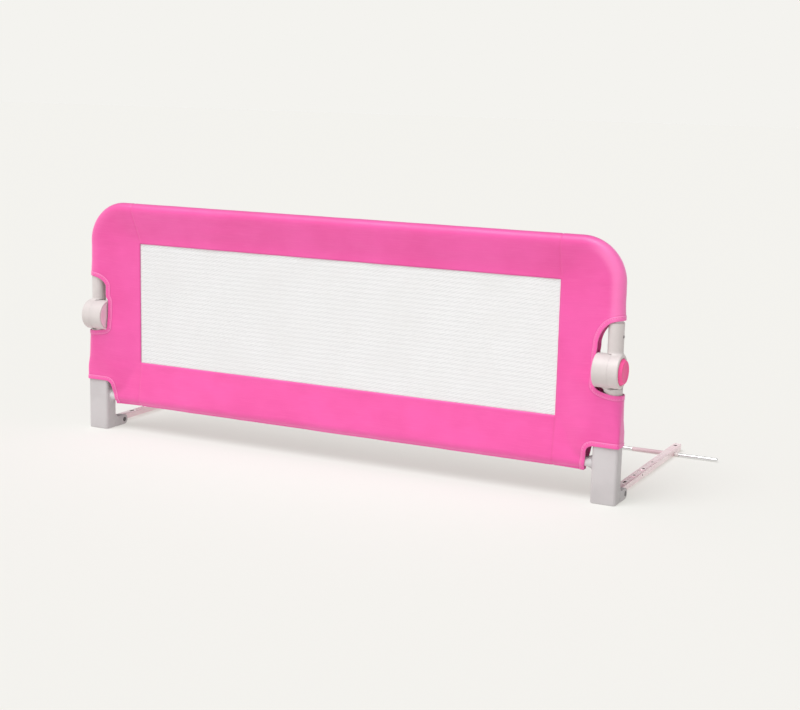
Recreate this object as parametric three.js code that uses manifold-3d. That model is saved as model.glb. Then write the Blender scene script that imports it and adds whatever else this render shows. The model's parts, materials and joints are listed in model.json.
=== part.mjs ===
// Folding bed guard rail. Millimetres, +Z up, +X along the rail, +Y towards the mattress.
// Inside the file y = 0 is the plane of the tube frame and z = 0 the floor; the group at the end
// shifts everything so that the origin is under the middle of the whole object.
import * as THREE from 'three';
import { mergeVertices } from 'three/addons/utils/BufferGeometryUtils.js';
import Module from 'manifold-3d';

const wasm = await Module();
wasm.setup();

// Overall size: the span over the legs, the height of the fold's axis and the rail's height above it
const legSpan = 1024;
const foldZ = 213;
const upperRise = 207;

// Clearances between neighbours, and one overrun for every cut
const fit = 0.3;
const runningFit = 0.4;
const overrun = 2;

// Cloth of the cover
const cloth = 0.9;
const clothEase = 0.5;

// Frame tubes; the upright ones stand a little outboard of the legs' middles
const tubeDiameter = 22;
const tubeWall = 1.2;
const tubeOffset = 5;
const tubeBend = 60;
const topTubeLength = 660;
const spigotDiameter = 18.9;
const spigotLength = 40;
const spigotWall = 1.2;
const crossbarDiameter = 16.5;
const crossbarWall = 1;
const crossbarZ = 63.3;

// Legs
const legWidth = 42;
const legDepth = 27.5;
const legHeight = 112;
const legCorner = 5;
const legBevel = 2.5;
const postSeat = 24;
const flareRadius = 18;
const flareLength = 8;
const flareTip = 9.6;
const crossbarInsert = 11.5;

// Lug behind each leg and the arm's pivot in it
const pivotY = 37.5;
const pivotZ = 9.3;
const lugTipRadius = 9.3;
const lugTop = 18.5;
const lugTopEnd = 31;
const boltDiameter = 4;
const boltHeadDiameter = 8;
const boltHeadHeight = 2.2;
const boltRecessDepth = 2.6;
const boltRecessDiameter = 8.8;

// Hinge; a reach is a distance along the rail from the axis of the side tube, a start, rise or drop
// one up or down from the fold's axis
const foldY = -7;
const discRadius = 27;
const discInnerReach = 27;
const discPartingReach = 2;
const discOuterReach = 15;
const discRound = 2;
const discInnerRound = 1.2;
const cavityRadius = 20;
const springSeatReach = 18.7;
const seatWall = 2.6;
const capThickness = 1.5;
const capSink = 1;
const capRadius = 23.6;
const socketStart = 27.5;
const neckDiameter = 29;
const neckLength = 27.5;
const sleeveDiameter = 25;
const sleeveRise = 77;
const sleeveFloor = 5;
const webSink = 4;
const webFlare = 3.5;
const hingeBoltDiameter = 6;
const hingeBoltHead = 11;
const hingeBoltHeadHeight = 3;
const hingeNutWidth = 10;
const hingeNutHeight = 2.4;

// Lock gear, its spring and the push button
const gearRadius = 17.5;
const gearRoot = 14.5;
const gearTeeth = 10;
const gearTipShare = 0.3;
const gearSlopeShare = 0.12;
const gearThickness = 9.5;
const gearSocketDepth = 3.5;
const socketWebThickness = 3.2;
const springRadius = 8;
const springWire = 1.3;
const springTurns = 3;
const buttonRadius = 21;
const buttonFaceRadius = 19;
const buttonHeight = 5;
const buttonShoulder = 2.2;
const buttonSkirt = 3;
const buttonWall = 2.2;
const buttonLegRadius = 2.4;
const buttonLegCircle = 12;
const buttonLegs = 3;

// Small screws through the sleeves, necks and legs
const screwHeadRadius = 2.8;
const screwHeadHeight = 1.2;
const screwRadius = 1.4;
const screwLength = 5.2;
const screwSink = 0.8;
const spotRadius = 3.3;
const sleeveScrewRise = 54;
const neckScrewDrop = 43;
const legScrewDrop = 10;

// Under-mattress frame
const armWidth = 15;
const armOffset = 2.3;
const armTop = 13;
const armSkirt = 3.5;
const armEnd = 402;
const armWall = 1.2;
const armEarRadius = 5.2;
const rodEarHalfWidth = 7;
const rodEarBottom = 0.3;
const rodY = 352;
const rodZ = 4.2;
const rodDiameter = 5.5;
const rodOverhang = 67;
const rodSleeveDiameter = 7.4;
const rodSleeveLength = 62;
const rodClipDiameter = 7.6;
const rodClipLength = 8;
const armSlotY = 91;
const armSlotLength = 13;
const armSlotWidth = 5;
const armHoleDiameter = 5;
const armFirstHoleY = 142;
const armHolePitch = 50;
const armSmallHoleY = 243;
const armSmallHoleDiameter = 4.2;
const armEndHoleY = 383;
const armEndHoleDiameter = 6.4;
const armSideHoleY = 164;
const armSideHoleZ = 9.4;
const armSideHoleDiameter = 2.6;

// Cover: its window, its hems and the half thickness of the cloth bag at places across it
const sideBand = 94;
const topBand = 72;
const bottomBand = 67.7;
const windowEdgeHalf = 1.5;
const windowSeam = 8;
const coverDrop = 13.3;
const coverBottomHalf = 1.2;
const bottomSeam = 4;
const cutoutDepth = 28.2;
const cutoutRise = 77;
const cutoutDrop = 36.5;
const cutoutTopArc = 42;
const cutoutBottomArc = 12;
const hingeHalf = 6.2;
const panelHalf = 8.8;
const legPanelHalf = 14.6;
const legPanelInset = 6;
const legSquare = 5;
const bandMidHalf = 6.4;
const bandMidRise = 28.7;
const hemOverlap = 20;
const notchTopInset = 10.5;
const notchBottomInset = 14.5;
const notchRound = 13;
const neckZoneRise = 20;
const neckSideEase = 1.5;
const foldGap = 0.3;

// Mesh window: strands and gaps of the net
const netThickness = 1;
const netColumns = 22;
const netRowsUpper = 4;
const netRowsLower = 2;
const netStrand = 3;

// Facets of round shapes
const tubeSides = 16;
const discSides = 32;
const smallSides = 12;
const arcSteps = 8;
const bendSteps = 8;

// Worked out from the sizes above
const tubeR = tubeDiameter / 2;
const legOuter = legSpan / 2;
const legInner = legOuter - legWidth;
const legMid = legOuter - legWidth / 2;
const tubeX = legMid + tubeOffset;
const legHalfDepth = legDepth / 2;
const coverR = tubeR + clothEase + cloth;
const railTop = foldZ + upperRise;
const topTubeZ = railTop - coverR;
const bendX = tubeX - tubeBend;
const bendZ = topTubeZ - tubeBend;
const crossbarR = crossbarDiameter / 2;
const armX = legMid + armOffset;
const armInner = armX - armWidth / 2;
const armOuter = armX + armWidth / 2;
const discInner = tubeX - discInnerReach;
const discOuter = tubeX + discOuterReach;
const partingLow = tubeX - discPartingReach - fit / 2;
const partingHigh = partingLow + fit;
const springSeat = tubeX - springSeatReach;
const gearOuter = partingHigh + gearSocketDepth - fit;
const gearInner = gearOuter - gearThickness;
const buttonFloor = partingHigh + gearSocketDepth + socketWebThickness;
const neckR = neckDiameter / 2;
const sleeveR = sleeveDiameter / 2;
const webOuter = discOuter - webSink;
const webInner = tubeX - neckR + webSink / 2;
const buttonFaceX = discOuter + buttonHeight;
const buttonSkirtX = discOuter - buttonSkirt;
const buttonShoulderX = discOuter + buttonShoulder;
const neckTop = foldZ - socketStart;
const neckBottom = neckTop - neckLength;
const sleeveTop = foldZ + sleeveRise;
const sleeveBottom = foldZ + socketStart;
const sleeveScrewZ = foldZ + sleeveScrewRise;
const neckScrewZ = foldZ - neckScrewDrop;
const legScrewZ = legHeight - legScrewDrop;
const socketR = tubeR + fit;
const legSocketR = crossbarR + fit;
const windowHalf = tubeX - sideBand;
const windowTop = railTop - topBand;
const windowBottom = crossbarZ + bottomBand;
const coverBottom = crossbarZ - coverDrop;
const bandMidZ = crossbarZ + bandMidRise;
const hemZ = legHeight - hemOverlap;
const neckZoneBottom = legHeight + neckZoneRise;
const cutoutInner = tubeX - cutoutDepth;
const cutoutMid = discInner;
const cutoutTop = foldZ + cutoutRise;
const cutoutBottom = foldZ - cutoutDrop;
const legPanelMid = legInner - legPanelInset;
const notchTopX = legInner - notchTopInset;
const notchBottomX = legInner - notchBottomInset;
const groupY = -(armEnd + foldY - discRadius) / 2;

const paint = {
  pink: new THREE.MeshStandardMaterial({ color: 0xf95fae, roughness: 0.75, metalness: 0 }),
  mesh: new THREE.MeshStandardMaterial({ color: 0xf2f2f2, roughness: 0.8, metalness: 0 }),
  grey: new THREE.MeshStandardMaterial({ color: 0xd6d2d0, roughness: 0.5, metalness: 0 }),
  white: new THREE.MeshStandardMaterial({ color: 0xf0e4e4, roughness: 0.4, metalness: 0 }),
  button: new THREE.MeshStandardMaterial({ color: 0xe8639f, roughness: 0.3, metalness: 0 }),
  tube: new THREE.MeshStandardMaterial({ color: 0xe6e4e2, roughness: 0.35, metalness: 0.2 }),
  arm: new THREE.MeshStandardMaterial({ color: 0xfae1e4, roughness: 0.35, metalness: 0.2 }),
  steel: new THREE.MeshStandardMaterial({ color: 0xb8babc, roughness: 0.3, metalness: 1 }),
  gear: new THREE.MeshStandardMaterial({ color: 0x8f9396, roughness: 0.5, metalness: 0 }),
  sleeve: new THREE.MeshStandardMaterial({ color: 0xc9b4b8, roughness: 0.7, metalness: 0 }),
};

// Turns a closed geometry into a solid that can be cut and joined, with its faces pointing out.
function solid(geometry) {
  const bare = geometry.index ? geometry.toNonIndexed() : geometry.clone();
  bare.deleteAttribute('normal');
  bare.deleteAttribute('uv');
  const merged = mergeVertices(bare);
  const corners = merged.index.array;
  const [kept, flipped] = [[], []];
  for (let i = 0; i < corners.length; i += 3) {
    const [a, b, c] = [corners[i], corners[i + 1], corners[i + 2]];
    if (a !== b && b !== c && c !== a) {
      kept.push(a, b, c);
      flipped.push(a, c, b);
    }
  }
  const vertProperties = new Float32Array(merged.attributes.position.array);
  const body = (faces) => new wasm.Manifold(
    new wasm.Mesh({ numProp: 3, vertProperties, triVerts: new Uint32Array(faces) }),
  );
  return body(kept).volume() > 0 ? body(kept) : body(flipped);
}

function geometryOf(body) {
  const mesh = body.getMesh();
  const positions = [];
  for (let i = 0; i < mesh.vertProperties.length; i += mesh.numProp) {
    positions.push(mesh.vertProperties[i], mesh.vertProperties[i + 1], mesh.vertProperties[i + 2]);
  }
  const geometry = new THREE.BufferGeometry();
  geometry.setAttribute('position', new THREE.Float32BufferAttribute(positions, 3));
  geometry.setIndex(Array.from(mesh.triVerts));
  geometry.computeVertexNormals();
  return geometry;
}

// The same piece on the other side of the rail.
function mirrored(geometry) {
  const copy = geometry.clone();
  copy.scale(-1, 1, 1);
  const corners = copy.index.array;
  for (let i = 0; i < corners.length; i += 3) {
    [corners[i], corners[i + 1]] = [corners[i + 1], corners[i]];
  }
  copy.computeVertexNormals();
  return copy;
}

function union(first, ...others) {
  return others.reduce((sum, other) => sum.add(other), first);
}

function cut(first, ...others) {
  return others.reduce((left, other) => left.subtract(other), first);
}

function box(x0, x1, y0, y1, z0, z1) {
  const geometry = new THREE.BoxGeometry(x1 - x0, y1 - y0, z1 - z0);
  geometry.translate((x0 + x1) / 2, (y0 + y1) / 2, (z0 + z1) / 2);
  return solid(geometry);
}

// Round bar along X from x0 to x1, with its axis through (y, z).
function barX(radius, x0, x1, y, z, sides = smallSides) {
  const geometry = new THREE.CylinderGeometry(radius, radius, x1 - x0, sides);
  geometry.rotateZ(Math.PI / 2);
  geometry.translate((x0 + x1) / 2, y, z);
  return solid(geometry);
}

function barY(radius, y0, y1, x, z, sides = smallSides) {
  const geometry = new THREE.CylinderGeometry(radius, radius, y1 - y0, sides);
  geometry.translate(x, (y0 + y1) / 2, z);
  return solid(geometry);
}

function barZ(radius, z0, z1, x, y, sides = smallSides) {
  const geometry = new THREE.CylinderGeometry(radius, radius, z1 - z0, sides);
  geometry.rotateX(Math.PI / 2);
  geometry.translate(x, y, (z0 + z1) / 2);
  return solid(geometry);
}

// Turned shape about an axis along X through (y, z); the profile is a list of [radius, x].
function turnedX(profile, y, z, sides = discSides) {
  const points = profile.map(([radius, x]) => new THREE.Vector2(radius, x));
  const geometry = new THREE.LatheGeometry(points, sides);
  geometry.rotateZ(-Math.PI / 2);
  geometry.translate(0, y, z);
  return solid(geometry);
}

// A plane shape with a depth and no bevel.
function flat(shape, depth, curveSegments = arcSteps) {
  return new THREE.ExtrudeGeometry(shape, { depth, bevelEnabled: false, curveSegments });
}

// A plane shape in (x, y), thick along Z from z0 to z1, moved by (x, y).
function slabZ(shape, z0, z1, x, y) {
  const geometry = flat(shape, z1 - z0, arcSteps / 4);
  geometry.translate(x, y, z0);
  return solid(geometry);
}

// A plane shape in (y, z), thick along X from x0 to x1.
function slabX(shape, x0, x1) {
  const geometry = flat(shape, x1 - x0);
  geometry.rotateX(Math.PI / 2);
  geometry.rotateZ(Math.PI / 2);
  geometry.translate(x0, 0, 0);
  return solid(geometry);
}

// A plane shape in (x, z), thick along Y from y0 to y1.
function slabY(shape, y0, y1) {
  const geometry = flat(shape, y1 - y0);
  geometry.rotateX(Math.PI / 2);
  geometry.translate(0, y1, 0);
  return solid(geometry);
}

function roundedRectangle(width, height, corner) {
  const [w, h] = [width / 2, height / 2];
  const shape = new THREE.Shape();
  shape.moveTo(-w + corner, -h);
  shape.lineTo(w - corner, -h);
  shape.absarc(w - corner, -h + corner, corner, -Math.PI / 2, 0);
  shape.lineTo(w, h - corner);
  shape.absarc(w - corner, h - corner, corner, 0, Math.PI / 2);
  shape.lineTo(-w + corner, h);
  shape.absarc(-w + corner, h - corner, corner, Math.PI / 2, Math.PI);
  shape.lineTo(-w, -h + corner);
  shape.absarc(-w + corner, -h + corner, corner, Math.PI, Math.PI * 1.5);
  return shape;
}

// Skin through a row of closed rings with as many points each, with a flat end on the first and the last.
function loft(rings) {
  const positions = [];
  const corners = [];
  const count = rings[0].length;
  for (const ring of rings) for (const point of ring) positions.push(point.x, point.y, point.z);
  for (let i = 0; i + 1 < rings.length; i += 1) {
    for (let j = 0; j < count; j += 1) {
      const [a, b] = [i * count + j, i * count + (j + 1) % count];
      corners.push(a, b, b + count, a, b + count, a + count);
    }
  }
  const flat = rings[0].map((point) => new THREE.Vector2(point.across, point.y));
  for (const [a, b, c] of THREE.ShapeUtils.triangulateShape(flat, [])) {
    const last = (rings.length - 1) * count;
    corners.push(a, c, b, last + a, last + b, last + c);
  }
  const geometry = new THREE.BufferGeometry();
  geometry.setAttribute('position', new THREE.Float32BufferAttribute(positions, 3));
  geometry.setIndex(corners);
  return solid(geometry);
}

// Leg: upright moulding, socket for the post, flared collar for the crossbar and a lug of two cheeks.
function leg() {
  const upright = new THREE.ExtrudeGeometry(roundedRectangle(
    legWidth - legBevel * 2, legDepth - legBevel * 2, legCorner - legBevel,
  ), {
    depth: legHeight - legBevel * 2,
    bevelSize: legBevel,
    bevelThickness: legBevel,
    bevelSegments: 1,
    curveSegments: 2,
  });
  upright.translate(legMid, 0, legBevel);
  const flare = new THREE.LatheGeometry(flareProfile(), discSides / 2);
  flare.rotateZ(-Math.PI / 2);
  flare.scale(1, (legHalfDepth - legBevel) / flareRadius, 1);
  flare.translate(legInner, 0, crossbarZ);
  const [innerCheek, outerCheek] = [
    slabX(cheekShape(), legInner, armInner - runningFit),
    slabX(cheekShape(), armOuter + runningFit, legOuter),
  ];
  const collarStart = legInner - flareLength - overrun;
  const screwBore = barY(screwRadius + fit, tubeR, legHalfDepth + overrun, tubeX, legScrewZ);
  const spotFloor = legHalfDepth - screwHeadHeight - fit;
  const screwSpot = barY(spotRadius, spotFloor, legHalfDepth + overrun, tubeX, legScrewZ);
  return cut(
    union(solid(upright), solid(flare), innerCheek, outerCheek),
    barZ(socketR, postSeat, legHeight + overrun, tubeX, 0, tubeSides),
    barX(legSocketR, collarStart, legInner + crossbarInsert + fit, 0, crossbarZ, tubeSides),
    barX(boltDiameter / 2 + fit, legInner - overrun, legOuter + overrun, pivotY, pivotZ),
    barX(boltRecessDiameter / 2, legInner - overrun, legInner + boltRecessDepth, pivotY, pivotZ),
    barX(boltRecessDiameter / 2, legOuter - boltRecessDepth, legOuter + overrun, pivotY, pivotZ),
    screwBore,
    screwSpot,
  );
}

// Concave collar from the leg's face out to the crossbar, as [radius, distance] of a quarter arc.
function flareProfile() {
  const points = [new THREE.Vector2(0, legBevel), new THREE.Vector2(flareRadius, legBevel)];
  for (let i = 0; i <= arcSteps / 2; i += 1) {
    const turn = (Math.PI / 2) * (i / (arcSteps / 2));
    const radius = flareRadius - (flareRadius - flareTip) * Math.sin(turn);
    points.push(new THREE.Vector2(radius, -flareLength * (1 - Math.cos(turn))));
  }
  points.push(new THREE.Vector2(0, -flareLength));
  return points.reverse();
}

function cheekShape() {
  const shape = new THREE.Shape();
  const root = legHalfDepth - legBevel;
  shape.moveTo(root, legBevel);
  shape.lineTo(legHalfDepth, 0);
  shape.lineTo(pivotY, pivotZ - lugTipRadius);
  shape.absarc(pivotY, pivotZ, lugTipRadius, -Math.PI / 2, Math.PI / 3);
  shape.lineTo(lugTopEnd, lugTop);
  shape.lineTo(root, lugTop);
  shape.closePath();
  return shape;
}

function post() {
  const top = neckTop - sleeveFloor / 2;
  return cut(
    barZ(tubeR, postSeat + fit, top, tubeX, 0, tubeSides),
    barZ(tubeR - tubeWall, postSeat, top + overrun, tubeX, 0, tubeSides),
    barY(screwRadius + fit, 0, tubeDiameter, tubeX, legScrewZ),
    barY(screwRadius + fit, 0, tubeDiameter, tubeX, neckScrewZ),
  );
}

function crossbar() {
  const end = legInner + crossbarInsert;
  return cut(
    barX(crossbarR, -end, end, 0, crossbarZ, tubeSides),
    barX(crossbarR - crossbarWall, -end - overrun, end + overrun, 0, crossbarZ, tubeSides),
  );
}

// Lower housing: inner disc with the gear's chamber, a web under it and the neck round the post.
function lowerHousing() {
  const capFloor = discInner + capSink + capThickness + fit;
  const disc = turnedX([
    [0, discInner],
    [discRadius - discInnerRound, discInner],
    [discRadius, discInner + discInnerRound],
    [discRadius, partingLow],
    [0, partingLow],
  ], foldY, foldZ);
  const webSide = webShape(neckR - discRound, neckTop - sleeveFloor, foldZ - discRadius / 2, -1);
  const web = slabX(webSide, webInner, partingLow);
  const neck = barZ(neckR, neckBottom, neckTop, tubeX, 0, discSides / 2);
  return cut(
    union(disc, web, neck),
    barX(cavityRadius, springSeat, discOuter, foldY, foldZ, discSides),
    barX(capRadius + fit, discInner - overrun, capFloor, foldY, foldZ, discSides),
    barX(hingeNutWidth / 2 + screwHeadHeight, capFloor - overrun, springSeat - seatWall, foldY, foldZ),
    barX(hingeBoltDiameter / 2 + fit, discInner, springSeat + overrun, foldY, foldZ),
    barZ(socketR, neckBottom - overrun, neckTop - sleeveFloor / 2 + fit, tubeX, 0, tubeSides),
    barY(screwRadius + fit, tubeR, neckR + overrun, tubeX, neckScrewZ),
    barY(spotRadius, neckR - screwHeadHeight - fit, neckR + overrun, tubeX, neckScrewZ),
  );
}

// Side view of the web between a disc and its tube; side is 1 above the axis and -1 below it.
function webShape(halfWidth, far, near, side) {
  const reach = discRadius - discRound;
  const shape = new THREE.Shape();
  shape.moveTo(-halfWidth, far);
  shape.lineTo(halfWidth, far);
  shape.lineTo(halfWidth, far - side * webFlare);
  shape.lineTo(foldY + reach * Math.cos(Math.PI / 6), near);
  shape.lineTo(foldY - reach * Math.cos(Math.PI / 6), near);
  shape.lineTo(-halfWidth, far - side * webFlare);
  shape.closePath();
  return shape;
}

// Upper housing: outer disc with the gear's socket and the button's seat, and a sleeve for the side tube.
function upperHousing() {
  const disc = turnedX([
    [0, partingHigh],
    [discRadius, partingHigh],
    [discRadius, discOuter - discRound],
    [discRadius - discRound * (1 - Math.SQRT1_2), discOuter - discRound * (1 - Math.SQRT1_2)],
    [discRadius - discRound, discOuter],
    [0, discOuter],
  ], foldY, foldZ);
  const webSide = webShape(sleeveR - fit, sleeveBottom + sleeveFloor, foldZ + discRadius / 2, 1);
  const web = slabX(webSide, partingHigh, webOuter);
  const sleeve = barZ(sleeveR, sleeveBottom, sleeveTop, tubeX, 0, discSides / 2);
  const legHoles = buttonLegPlaces().map(([y, z]) => barX(
    buttonLegRadius + runningFit, partingHigh, discOuter, y, z, smallSides / 2,
  ));
  return cut(
    union(disc, web, sleeve),
    slabX(gearShape(runningFit), discInner, partingHigh + gearSocketDepth),
    barX(buttonRadius + runningFit, buttonFloor, discOuter + overrun, foldY, foldZ, discSides),
    barX(hingeBoltDiameter / 2 + runningFit, discInner, discOuter, foldY, foldZ),
    barZ(socketR, sleeveBottom + sleeveFloor, sleeveTop + overrun, tubeX, 0, discSides),
    barX(screwRadius + fit, tubeX + tubeR - tubeWall, tubeX + sleeveR + overrun, 0, sleeveScrewZ),
    barX(spotRadius, tubeX + sleeveR - screwSink, tubeX + sleeveR + overrun, 0, sleeveScrewZ),
    ...legHoles,
  );
}

// Outline of the gear in (y, z), every tooth with a flat tip and two slopes; ease makes its socket wider.
function gearShape(ease = 0) {
  const shape = new THREE.Shape();
  const step = (Math.PI * 2) / gearTeeth;
  for (let i = 0; i < gearTeeth; i += 1) {
    const places = [
      [0, gearRoot],
      [(1 - gearTipShare) / 2 - gearSlopeShare, gearRoot],
      [(1 - gearTipShare) / 2, gearRadius],
      [(1 + gearTipShare) / 2, gearRadius],
      [(1 + gearTipShare) / 2 + gearSlopeShare, gearRoot],
    ];
    for (const [share, radius] of places) {
      const turn = (i + share) * step;
      const y = foldY + (radius + ease) * Math.cos(turn);
      const z = foldZ + (radius + ease) * Math.sin(turn);
      if (i === 0 && share === 0) shape.moveTo(y, z);
      else shape.lineTo(y, z);
    }
  }
  shape.closePath();
  return shape;
}

function lockGear() {
  return cut(
    slabX(gearShape(), gearInner, gearOuter),
    barX(hingeBoltDiameter / 2 + runningFit, gearInner - overrun, gearOuter + overrun, foldY, foldZ),
  );
}

function buttonLegPlaces() {
  const places = [];
  for (let i = 0; i < buttonLegs; i += 1) {
    const turn = Math.PI / 2 + (Math.PI * 2 * i) / buttonLegs;
    places.push([foldY + buttonLegCircle * Math.cos(turn), foldZ + buttonLegCircle * Math.sin(turn)]);
  }
  return places;
}

// Push button: dished cap with a skirt, and legs that reach through the housing to the gear.
function button() {
  const inside = buttonFaceX - buttonWall;
  const cap = turnedX([
    [0, inside],
    [buttonRadius - buttonWall, inside],
    [buttonRadius - buttonWall, buttonSkirtX],
    [buttonRadius, buttonSkirtX],
    [buttonRadius, buttonShoulderX],
    [buttonFaceRadius, buttonFaceX],
    [0, buttonFaceX],
  ], foldY, foldZ);
  const legs = buttonLegPlaces().map(([y, z]) => barX(
    buttonLegRadius, gearOuter + fit, inside + fit, y, z, smallSides / 2,
  ));
  return union(cap, ...legs);
}

// Coil spring between the gear and the lower housing, as one tube along a helix.
function buttonSpring() {
  const [start, end] = [springSeat + fit + springWire / 2, gearInner - fit - springWire / 2];
  const stepsPerTurn = 8;
  const wireSides = 5;
  class Coil extends THREE.Curve {
    getPoint(t, target = new THREE.Vector3()) {
      const turn = t * springTurns * Math.PI * 2;
      return target.set(
        start + (end - start) * t,
        foldY + (springRadius - springWire / 2) * Math.cos(turn),
        foldZ + (springRadius - springWire / 2) * Math.sin(turn),
      );
    }
  }
  const section = new THREE.Shape();
  for (let i = 0; i < wireSides; i += 1) {
    const turn = (i / wireSides) * Math.PI * 2;
    const [x, y] = [Math.cos(turn) * springWire / 2, Math.sin(turn) * springWire / 2];
    if (i === 0) section.moveTo(x, y);
    else section.lineTo(x, y);
  }
  section.closePath();
  const steps = springTurns * stepsPerTurn;
  return solid(new THREE.ExtrudeGeometry(section, { steps, extrudePath: new Coil() }));
}

// Axle of the fold: head outside, thin nut inside under the cap.
function hingeBolt() {
  const headX = buttonFloor + fit;
  return union(
    barX(hingeBoltHead / 2, headX, headX + hingeBoltHeadHeight, foldY, foldZ),
    barX(hingeBoltDiameter / 2, nutX(), headX + hingeBoltHeadHeight / 2, foldY, foldZ),
  );
}

function nutX() {
  return springSeat - seatWall - fit - hingeNutHeight;
}

function hexagonX(width, x0, x1, y, z) {
  return barX(width / 2 / Math.cos(Math.PI / 6), x0, x1, y, z, 6);
}

function hingeNut() {
  return cut(
    hexagonX(hingeNutWidth, nutX(), nutX() + hingeNutHeight, foldY, foldZ),
    barX(hingeBoltDiameter / 2 + fit, discInner, discOuter, foldY, foldZ),
  );
}

function hingeCap() {
  return barX(capRadius, discInner + capSink, discInner + capSink + capThickness, foldY, foldZ, discSides);
}

// Small screw pointing in from the back or the side; the head's outer face is at distance reach.
function screwY(x, z, reach) {
  const underHead = reach - screwHeadHeight;
  return union(
    barY(screwHeadRadius, underHead, reach, x, z),
    barY(screwRadius, underHead - screwLength, reach - screwHeadHeight / 2, x, z, smallSides / 2),
  );
}

function sleeveScrew() {
  const seat = tubeX + sleeveR - screwSink + fit;
  return union(
    barX(screwHeadRadius, seat, seat + screwHeadHeight, 0, sleeveScrewZ),
    barX(screwRadius, seat - screwLength, seat + screwHeadHeight / 2, 0, sleeveScrewZ, smallSides / 2),
  );
}

// Centre line of a side tube: up from the sleeve, round the bend and in along the top.
class SideLine extends THREE.Curve {
  getPoint(t, target = new THREE.Vector3()) {
    const start = sleeveBottom + sleeveFloor + fit;
    const rise = bendZ - start;
    const arc = (tubeBend * Math.PI) / 2;
    const run = bendX - topTubeLength / 2;
    let way = t * (rise + arc + run);
    if (way < rise) return target.set(tubeX, 0, start + way);
    way -= rise;
    if (way < arc) {
      const turn = way / tubeBend;
      return target.set(bendX + tubeBend * Math.cos(turn), 0, bendZ + tubeBend * Math.sin(turn));
    }
    return target.set(bendX - (way - arc), 0, topTubeZ);
  }
}

function sideTube() {
  const ring = (radius) => {
    const shape = new THREE.Shape();
    shape.absarc(0, 0, radius, 0, Math.PI * 2);
    return shape;
  };
  const path = new SideLine();
  const steps = bendSteps * 2;
  const pipe = (radius, curveSegments) => solid(new THREE.ExtrudeGeometry(ring(radius), {
    steps, extrudePath: path, curveSegments,
  }));
  const outer = pipe(tubeR, tubeSides / 2);
  const inner = pipe(tubeR - tubeWall, (tubeSides - arcSteps / 2) / 2);
  const lowEnd = sleeveBottom + sleeveFloor + fit;
  const farEnd = topTubeLength / 2;
  const mouthR = tubeR - tubeWall * 2;
  return cut(
    outer,
    inner,
    barZ(mouthR, lowEnd - overrun, lowEnd + overrun, tubeX, 0),
    barX(mouthR, farEnd - overrun, farEnd + overrun, 0, topTubeZ),
    barX(screwRadius + fit, tubeX, tubeX + tubeDiameter, 0, sleeveScrewZ),
  );
}

// Middle of the top tube, with a thinner spigot at each end that slides into the side tube.
function topTube() {
  const end = topTubeLength / 2 - fit;
  const tip = end + spigotLength;
  const [outer, inner] = [spigotDiameter / 2, spigotDiameter / 2 - spigotWall];
  return turnedX([
    [inner, -tip], [outer, -tip], [outer, -end], [tubeR, -end],
    [tubeR, end], [outer, end], [outer, tip], [inner, tip], [inner, -tip],
  ].reverse(), 0, topTubeZ, tubeSides);
}

// Arm: steel channel with its mouth down, ears at the pivot and at the rod, and its row of holes.
function arm() {
  const side = new THREE.Shape();
  side.moveTo(pivotY - armEarRadius, armTop - armWall);
  side.lineTo(pivotY - armEarRadius, pivotZ);
  side.absarc(pivotY, pivotZ, armEarRadius, Math.PI, Math.PI * 1.5);
  side.lineTo(pivotY + armEarRadius, pivotZ - armEarRadius);
  side.lineTo(pivotY + armEarRadius * 2, armSkirt);
  side.lineTo(rodY - rodEarHalfWidth * 2, armSkirt);
  side.lineTo(rodY - rodEarHalfWidth, rodEarBottom);
  side.lineTo(rodY + rodEarHalfWidth, rodEarBottom);
  side.lineTo(rodY + rodEarHalfWidth * 2, armSkirt);
  side.lineTo(armEnd, armSkirt);
  side.lineTo(armEnd, armTop);
  side.lineTo(pivotY - armEarRadius + armWall, armTop);
  side.closePath();
  const plan = roundedRectangle(armWidth, armEnd, armWidth / 2 - armWall);
  const outline = slabZ(plan, 0, armTop + overrun, armX, armEnd / 2);
  const inside = roundedRectangle(armWidth - armWall * 2, armEnd - armWall * 2, armWidth / 2 - armWall * 2);
  const hollow = slabZ(inside, -overrun, armTop - armWall, armX, armEnd / 2);
  const nearTrim = box(armInner + armWall, armOuter - armWall, 0, pivotY, -overrun, armTop - armWall);
  const hole = (diameter, y) => barZ(diameter / 2, armSkirt, armTop + overrun, armX, y);
  const slotPlan = roundedRectangle(armSlotWidth, armSlotLength, armSlotWidth / 2 - fit);
  return cut(
    slabX(side, armInner, armOuter).intersect(outline),
    hollow,
    nearTrim,
    slabZ(slotPlan, armSkirt, armTop + overrun, armX, armSlotY),
    hole(armHoleDiameter, armFirstHoleY),
    hole(armHoleDiameter, armFirstHoleY + armHolePitch),
    hole(armSmallHoleDiameter, armSmallHoleY),
    hole(armEndHoleDiameter, armEndHoleY),
    barX(armSideHoleDiameter / 2, armX, armOuter + overrun, armSideHoleY, armSideHoleZ),
    barX(boltDiameter / 2 + fit, armInner - overrun, armOuter + overrun, pivotY, pivotZ),
    barX(rodDiameter / 2 + fit, armInner - overrun, armOuter + overrun, rodY, rodZ),
  );
}

// Pivot of the arm: the head sits in the inner cheek's recess and the nut in the outer one's.
function armBolt() {
  const headX = legInner + boltRecessDepth - fit;
  return union(
    barX(boltHeadDiameter / 2, headX - boltHeadHeight, headX, pivotY, pivotZ),
    barX(boltDiameter / 2, headX - boltHeadHeight / 2, legOuter - fit, pivotY, pivotZ),
  );
}

function armNut() {
  const start = legOuter - boltRecessDepth + fit;
  return cut(
    hexagonX(boltHeadDiameter - fit * 4, start, start + boltHeadHeight, pivotY, pivotZ),
    barX(boltDiameter / 2 + fit, legMid, legOuter + overrun, pivotY, pivotZ),
  );
}

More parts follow.
